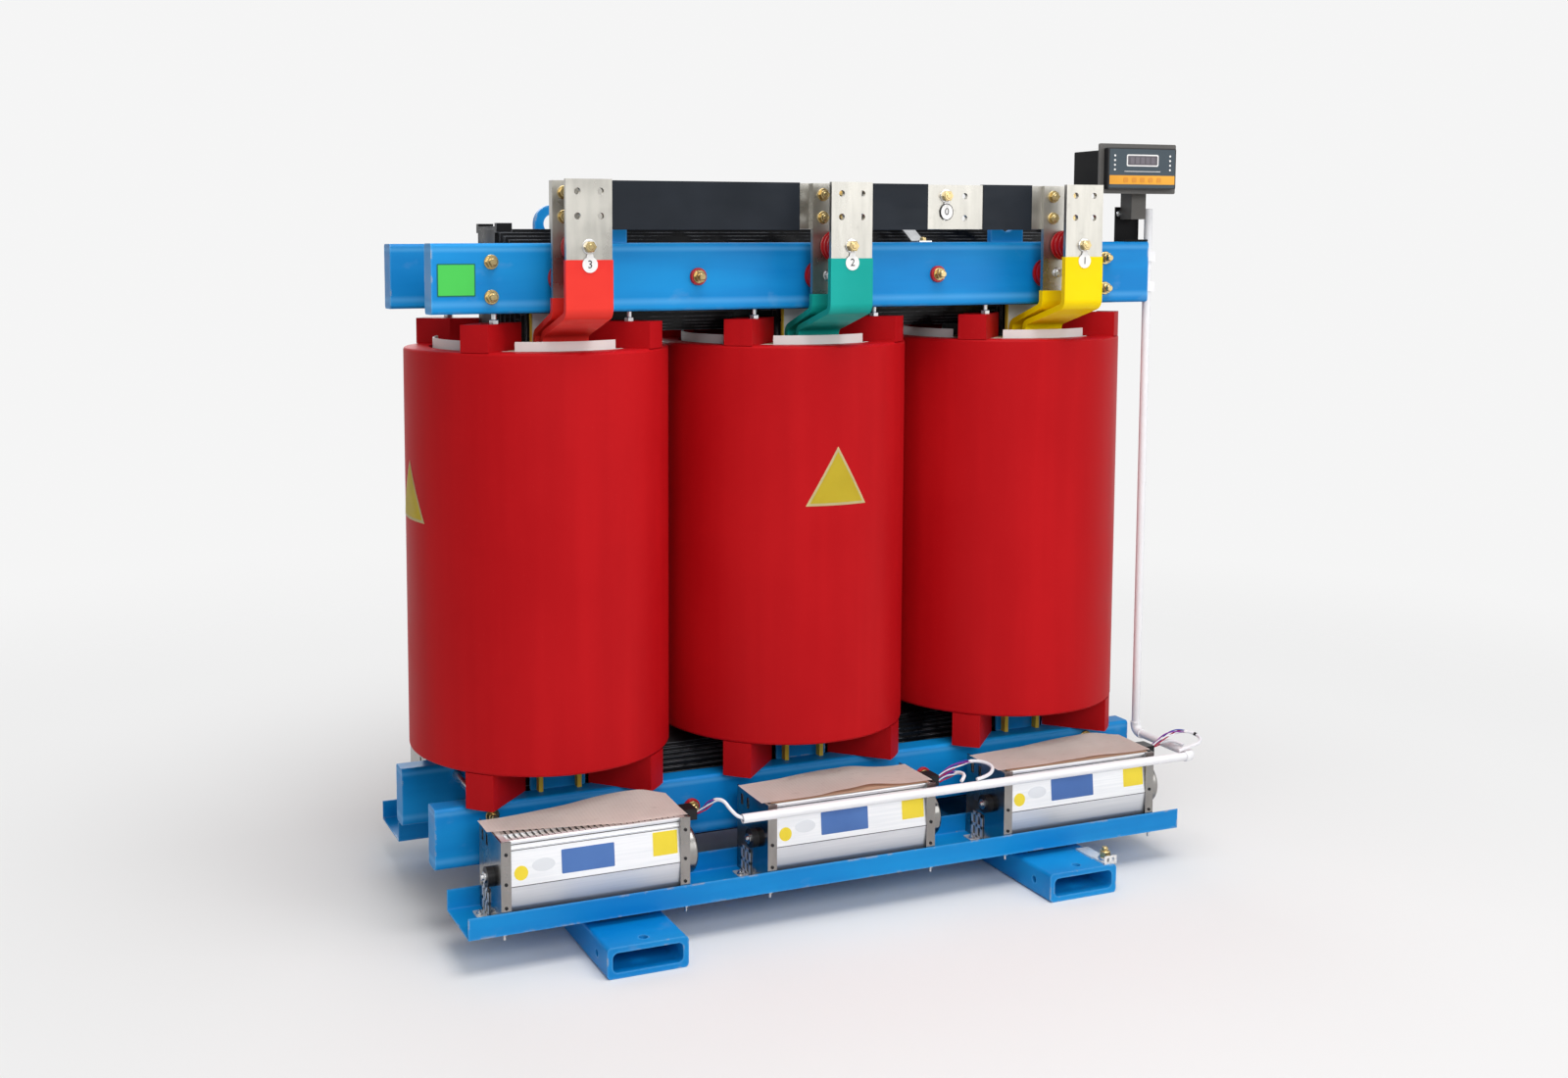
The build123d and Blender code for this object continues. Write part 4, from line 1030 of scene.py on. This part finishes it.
def add_board(bm, phase_x, shape):
    """A warped sheet of brown board that lies on a fan."""
    left, right, wave, hump, peak = shape
    columns = 40
    rows = 12
    grid = []
    for row in range(rows + 1):
        back = row / rows
        line = []
        for column in range(columns + 1):
            along = column / columns
            bay = max(0.0, math.sin(math.pi * (along - BOARD_WAVE[0]) / BOARD_WAVE[1])) ** 2
            front = right + (left - right) * max(0.0, 1 - along / BOARD_SLANT_SHARE)
            front += wave * bay * (1 + 0.4 * math.sin(21 * along))
            spread = GENTLE_SPREAD if along < peak else STEEP_SPREAD
            bulge = hump * math.exp(-((along - peak) / spread) ** 2) * back ** 1.3
            ripple = BOARD_RIPPLE * abs(math.sin(9 * along + 2 * back + 40 * phase_x)) * (0.3 + back)
            curl = wave * 0.35 * bay * (1 - back) ** 2
            line.append(bm.verts.new((
                phase_x + BOARD_REACH[0] + along * (BOARD_REACH[1] - BOARD_REACH[0]),
                FAN_FRONT + front + back * (BOARD_DEPTH - front),
                BOARD_LEVEL + bulge + ripple + curl)))
        grid.append(line)
    faces = []
    for low, high in zip(grid, grid[1:]):
        for column in range(columns):
            faces.append(bm.faces.new((low[column], low[column + 1], high[column + 1], high[column])))
    bmesh.ops.solidify(bm, geom=faces, thickness=BOARD_THICKNESS)


def cover_boards():
    """Warped boards on the front fans, and the darker inner fold that shows under two of them."""
    bm = bmesh.new()
    for x, shape in zip(PHASE_X, BOARD_SHAPES):
        add_board(bm, x, shape)
    folds = bmesh.new()
    for x in PHASE_X[1:]:
        middle = (x, FAN_FRONT + 26 * MM, FAN_TOP + 0.2 * MM)
        add_slab(folds, rounded(PANEL_LENGTH + 20 * MM, 40 * MM, 2 * MM), middle, RIGHT, REAR, 1.2 * MM)
    shown = piece("warped_boards", as_mesh(bm), "cardboard", BOARD)
    piece("board_folds", as_mesh(folds), "cardboard", BOARD_INSIDE)
    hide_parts("fan_cover_boards")


# Post backing
def post_plates():
    """Blue plates that stand on the lower clamps behind the posts of each coil."""
    wide = 128 * MM
    tall = 67 * MM
    thick = 6 * MM
    bm = bmesh.new()
    for x in PHASE_X:
        middle = (x, LOWER_HIGH.y - 1 * MM, LOWER_HIGH.z + 33 * MM)
        add_slab(bm, rounded(wide, tall, 4 * MM), middle, RIGHT, UP, thick)
    piece("post_plates", with_rear(bm), "clamp_paint", BLUE)


# Controller
def controller_panel():
    """Front sheet of the controller: bare display, strip of keys and two rows of lamps."""
    low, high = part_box("controller_front")
    middle = Vector(((low.x + high.x) / 2, low.y, (low.z + high.z) / 2))
    bm = bmesh.new()

    def sheet(outline, x, z, thickness, slot):
        add_slab(bm, outline, middle + Vector((x * MM, 0, z * MM)), RIGHT, UP, thickness * MM, slot)

    sheet(rounded(190 * MM, 91 * MM, 3 * MM), 0, 0, 0.5, 0)
    sheet(rounded(189 * MM, 21 * MM, 1 * MM), 0, -27, 0.7, 1)
    sheet(rounded(92 * MM, 28 * MM, 4 * MM), 0, 19, 0.9, 2)
    sheet(rounded(86 * MM, 22 * MM, 3 * MM), 0, 19, 1.1, 3)
    for number in range(-2, 3):
        sheet(rounded(10 * MM, 15 * MM, 1.5 * MM), 15 * number, 19, 1.3, 4)
        sheet(rounded(13 * MM, 11 * MM, 2.5 * MM), 24 * number, -27, 1.4, 5)
    for side in (-1, 1):
        for number in range(4):
            sheet(oval(5 * MM, 5 * MM, 12), 80 * side, 30 - 11 * number, 1.2, 2)
    sheet(rounded(104 * MM, 1.2 * MM, 0.5 * MM), 0, -7, 0.8, 2)
    faint = plastic("display_cell", (0.125, 0.11, 0.13), (0.14, 0.125, 0.145), 0.25, 300.0)
    keys = plastic("panel_keys", (0.66, 0.27, 0.03), (0.60, 0.24, 0.025), 0.4, 300.0)
    piece(
        "controller_panel", as_mesh(bm), "controller_face",
        PANEL_SLATE, PANEL_ORANGE, TAG_WHITE, PANEL_WINDOW, faint, keys)


def controller_bolts():
    low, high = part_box("controller_bracket")
    plate = high.y - 5 * MM
    bolts(
        "bracket_bolts", [((low.x + 9 * MM, plate, high.z - 16 * MM), FRONT)], 6 * MM, 4 * MM, BRIGHT_ZINC,
        washer=(7.5 * MM, 1.2 * MM))


# Earth terminal
def earth_bolt():
    low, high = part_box("earth_plate")
    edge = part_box("base_foot_right")[0].y
    wide = 34 * MM
    tall = 20 * MM
    x = high.x - 14 * MM
    bolts(
        "earth_bolt", [((x, edge + 24 * MM, high.z), UP)], 13 * MM, 15 * MM, GOLD_ZINC,
        washer=(15 * MM, 7 * MM), thread=(7 * MM, 29 * MM), under=BRIGHT_ZINC)
    bm = bmesh.new()
    leg = low.y - edge - 3 * MM
    middle = (x, edge + 3 * MM + leg / 2, low.z)
    add_slab(bm, rounded(wide, leg, 1 * MM), middle, RIGHT, REAR, high.z - low.z)
    lip = Vector((x, edge + 5 * MM, low.z + tall / 2))
    add_slotted_plate(bm, lip, RIGHT, wide, tall, (-0.4, 0.0, 0.4), 0.2, (-0.37, 0.37), 0.26)
    piece("earth_tab", as_mesh(bm), "zinc_steel", EARTH_ZINC)


# High-voltage side
def rear_nuts():
    tap_low, tap_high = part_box("tap_faces")
    middle = (tap_low.z + tap_high.z) / 2
    face = tap_high.y
    stud_end = 26 * MM
    short_stud = 12 * MM
    tap_step = 70 * MM
    link = 6 * MM
    near = 60 * MM
    far = 94 * MM
    rise = (tap_high.z - tap_low.z) / 2 - 40 * MM
    aside = 36 * MM
    small = []
    for x, side in PHASE_SIDES:
        for row in (-tap_step, tap_step):
            small.append(((x + side * aside, face + short_stud, middle + row), REAR))
        small.append(((x + side * aside, face + stud_end + link, middle), REAR))
    large = [((x, face + near + link, middle + rise), REAR) for x in PHASE_X[:-1]]
    large += [((x, face + near + link, middle - rise), REAR) for x in PHASE_X[1:]]
    large.append(((PHASE_X[2], face + far + link, middle + rise), REAR))
    large.append(((PHASE_X[0], face + far + link, middle - rise), REAR))
    bolts("tap_nuts", small, 11 * MM, 8 * MM, BRASS, washer=(13 * MM, 2 * MM), slot="brass")
    bolts("delta_nuts", large, 12 * MM, 9 * MM, GOLD_ZINC, washer=(15 * MM, 2.5 * MM))


# Fan leads
LEAD_ROUTES = {
    "fan_lead_left": (
        (-357, -335, 263), (-343, -342, 272), (-332, -358, 296), (-317, -382, 303), (-306, -396, 283),
        (-286, -402, 263), (-260, -402, 260)),
    "fan_lead_middle_long": (
        (247, -331, 266), (270, -331, 279), (300, -328, 289), (335, -326, 294), (364, -340, 293),
        (373, -366, 288), (353, -390, 282), (322, -401, 278), (306, -402, 276.6)),
    "fan_lead_middle_short": (
        (247, -337, 258), (265, -340, 271), (285, -352, 281), (289, -375, 284), (278, -393, 282),
        (266, -401, 277)),
    "fan_lead_right_long": (
        (851, -331, 268), (871, -333, 285), (898, -335, 298), (928, -340, 303), (950, -356, 300),
        (954, -380, 294), (936, -398, 288), (910, -402, 285), (887, -402, 281), (870, -402, 276.8)),
    "fan_lead_right_short": (
        (851, -320, 262), (868, -322, 272), (888, -331, 279), (905, -347, 282), (912, -368, 277)),
}
LEAD_DIAMETER = 8 * MM
CORE_DIAMETER = 3 * MM
BARE_SHARE = 0.36
STRAND_SPREAD = 2.4 * MM
STRAND_TWIST = 0.12
TIED_LEAD = "fan_lead_right_long"


def lead_line(name, points):
    """The points along a lead's smooth route."""
    curve = bpy.data.curves.new(name, "CURVE")
    curve.dimensions = "3D"
    spline = curve.splines.new("NURBS")
    spline.points.add(len(points) - 1)
    for point, place in zip(spline.points, points):
        point.co = (*place, 1.0)
    spline.order_u = 3
    spline.use_endpoint_u = True
    spline.resolution_u = 10
    mesh = plain_mesh(placed(name + "_line", curve))
    return [vertex.co.copy() for vertex in mesh.vertices]


def frames_along(line):
    """Each point of a line with two directions square to it that turn as little as they can."""
    found = []
    side = Vector(UP)
    for number, point in enumerate(line):
        ahead = (line[min(number + 1, len(line) - 1)] - line[max(number - 1, 0)]).normalized()
        side = (side - ahead * side.dot(ahead)).normalized()
        found.append((point, side, ahead.cross(side)))
    return found


def add_tube(bm, frames, radius, slot, offset=0.0, spread=0.0, turn=0.0, twist=0.0, sides=10):
    """A closed tube along frames, or a strand that winds round them and spreads out half way."""
    rings = []
    for number, (point, side, other) in enumerate(frames):
        angle = turn + twist * number
        away = offset + spread * math.sin(math.pi * number / (len(frames) - 1))
        middle = point + (side * math.cos(angle) + other * math.sin(angle)) * away
        ring = []
        for step in range(sides):
            around = 2 * math.pi * step / sides
            ring.append(bm.verts.new(middle + (side * math.cos(around) + other * math.sin(around)) * radius))
        rings.append(ring)
    faces = [bm.faces.new(rings[0][::-1]), bm.faces.new(rings[-1])]
    for low, high in zip(rings, rings[1:]):
        for step in range(sides):
            after = (step + 1) % sides
            faces.append(bm.faces.new((low[step], low[after], high[after], high[step])))
    give_slot(faces, slot)


def lead(name, route):
    """Bare cores from the terminal block, then the white sheath."""
    points = [Vector((x * MM + MIDDLE_X, y * MM, z * MM)) for x, y, z in route]
    line = lead_line(name, points)
    frames = frames_along(line)
    split = round(len(frames) * BARE_SHARE)
    bm = bmesh.new()
    add_tube(bm, frames[split:], LEAD_DIAMETER / 2, 0)
    add_tube(bm, frames[split - 2:split + 2], LEAD_DIAMETER / 2 * 1.06, 4)
    for strand in range(4):
        add_tube(
            bm, frames[:split + 2], CORE_DIAMETER / 2, strand, offset=STRAND_SPREAD, spread=STRAND_SPREAD,
            turn=math.pi / 2 * strand, twist=STRAND_TWIST, sides=8)
    if name == TIED_LEAD:
        add_tube(bm, frames[split + 9:split + 13], LEAD_DIAMETER / 2 * 1.12, 5)
    shown = piece(
        name + "_wire", as_mesh(bm), "lead_white",
        SHEATH, CORE_RED, CORE_BLUE, CORE_VIOLET, TAG_WHITE, BLACK_PLASTIC)
    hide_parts(name)


# Stage, light and camera
CAMERA_PLACE = (-1.7487, -3.5072, 1.4821)
CAMERA_TURN = (84.7610, 0.2041, -21.2546)
CAMERA_LENS = 37.779
CAMERA_SHIFT = (0.10, -0.09)
PALE = (0.915, 0.915, 0.915, 1.0)
FLOOR_RADIUS = 5.0
FLOOR_LEVEL = -0.5 * MM
# Distances between which the floor's glow comes up, and between which the floor fades out
FLOOR_GLOW = (0.7, 2.4)
FLOOR_FADE = (2.2, 4.6)
WORLD_LEVEL = 0.42
# Each lamp: name, place, aim, width and height, power
SOFTBOXES = (
    ("key", (-0.9, -4.9, 3.2), (0.0, 0.0, 0.9), (2.6, 2.0), 92.0),
    ("fill", (2.9, -3.9, 2.2), (0.2, 0.0, 0.8), (3.0, 2.2), 38.0),
    ("top", (0.0, -1.5, 4.4), (0.0, -0.3, 0.5), (3.0, 2.0), 100.0),
    ("rear", (0.5, 4.5, 2.6), (0.0, 0.0, 0.9), (3.0, 2.0), 60.0),
)


def seen_as_backdrop(graph):
    """One where the camera looks, straight, by a reflection or through something clear."""
    rays = graph.tree.nodes.new("ShaderNodeLightPath")
    seen = Wire(graph, rays.outputs["Is Camera Ray"])
    for kind in ("Is Glossy Ray", "Is Transmission Ray"):
        other = Wire(graph, rays.outputs[kind])
        seen = seen.math("MAXIMUM", seen, other)
    return seen


def stage_floor():
    """Pale floor that fades out far from the transformer."""
    pale = Finish("pale_floor", Roughness=0.9, Specular_IOR_Level=0.1)
    pale.colour(pale.noise(1.5) * 0.1, (0.80, 0.80, 0.80), (0.76, 0.76, 0.76))
    far = pale.node("ShaderNodeVectorMath", {0: pale.place}, out="Value", operation="LENGTH")
    clear = pale.node("ShaderNodeBsdfTransparent")
    glow = pale.node("ShaderNodeEmission", {"Color": PALE, "Strength": 1.0})
    share = seen_as_backdrop(pale) * pale.between(far, *FLOOR_GLOW, 0.0, 0.75)
    lit = pale.node("ShaderNodeMixShader", {0: share, 1: Wire(pale, pale.shader.outputs[0]), 2: glow})
    whole = pale.node("ShaderNodeMixShader", {0: pale.between(far, *FLOOR_FADE), 1: lit, 2: clear})
    pale.join(whole, pale.tree.nodes["Material Output"].inputs["Surface"])
    bm = bmesh.new()
    bmesh.ops.create_circle(bm, cap_ends=True, radius=FLOOR_RADIUS, segments=64)
    mesh = as_mesh(bm)
    mesh.materials.append(pale.material)
    floor = placed("pale_floor", mesh)
    floor.location.z = FLOOR_LEVEL


def studio_world():
    """Soft even light, with a pale backdrop for the camera."""
    world = bpy.data.worlds.new("studio")
    world.use_nodes = True
    bpy.context.scene.world = world
    graph = Graph(world.node_tree)
    soft = graph.node("ShaderNodeBackground", {"Color": (1.0, 1.0, 1.0, 1.0), "Strength": WORLD_LEVEL})
    white = graph.node("ShaderNodeBackground", {"Color": PALE, "Strength": 1.0})
    whole = graph.node("ShaderNodeMixShader", {0: seen_as_backdrop(graph), 1: soft, 2: white})
    graph.join(whole, graph.tree.nodes["World Output"].inputs["Surface"])


def softbox(name, place, aim, size, power):
    lamp = bpy.data.lights.new(name, "AREA")
    lamp.shape = "RECTANGLE"
    lamp.size, lamp.size_y = size
    lamp.energy = power
    shown = placed(name, lamp)
    shown.location = place
    shown.rotation_euler = (Vector(aim) - Vector(place)).to_track_quat("-Z", "Y").to_euler()


def camera():
    lens = bpy.data.cameras.new("camera")
    lens.lens = CAMERA_LENS
    lens.sensor_width = 36.0
    lens.shift_x, lens.shift_y = CAMERA_SHIFT
    lens.clip_end = 50.0
    shown = placed("camera", lens)
    x, y, z = CAMERA_PLACE
    shown.location = (x + MIDDLE_X, y, z)
    shown.rotation_euler = [math.radians(turn) for turn in CAMERA_TURN]
    bpy.context.scene.camera = shown


dress_nodes()
clamp_bolts()
jack_bolts()
tags(bar_bolts())
core_strip()
board_edges()
clamp_plate()
coil_plates()
fan_marks()
fan_rails()
fan_brackets()
grille_shelves()
fan_screws()
fan_bearing_caps()
fan_grille_bars()
rotor_blades()
tray_screws()
cover_boards()
post_plates()
controller_panel()
controller_bolts()
earth_bolt()
rear_nuts()
for lead_name, lead_route in LEAD_ROUTES.items():
    lead(lead_name, lead_route)
stage_floor()
studio_world()
for lamp_name, lamp_place, lamp_aim, lamp_size, lamp_power in SOFTBOXES:
    softbox(lamp_name, lamp_place, lamp_aim, lamp_size, lamp_power)
camera()
bpy.context.scene.view_settings.view_transform = "Standard"
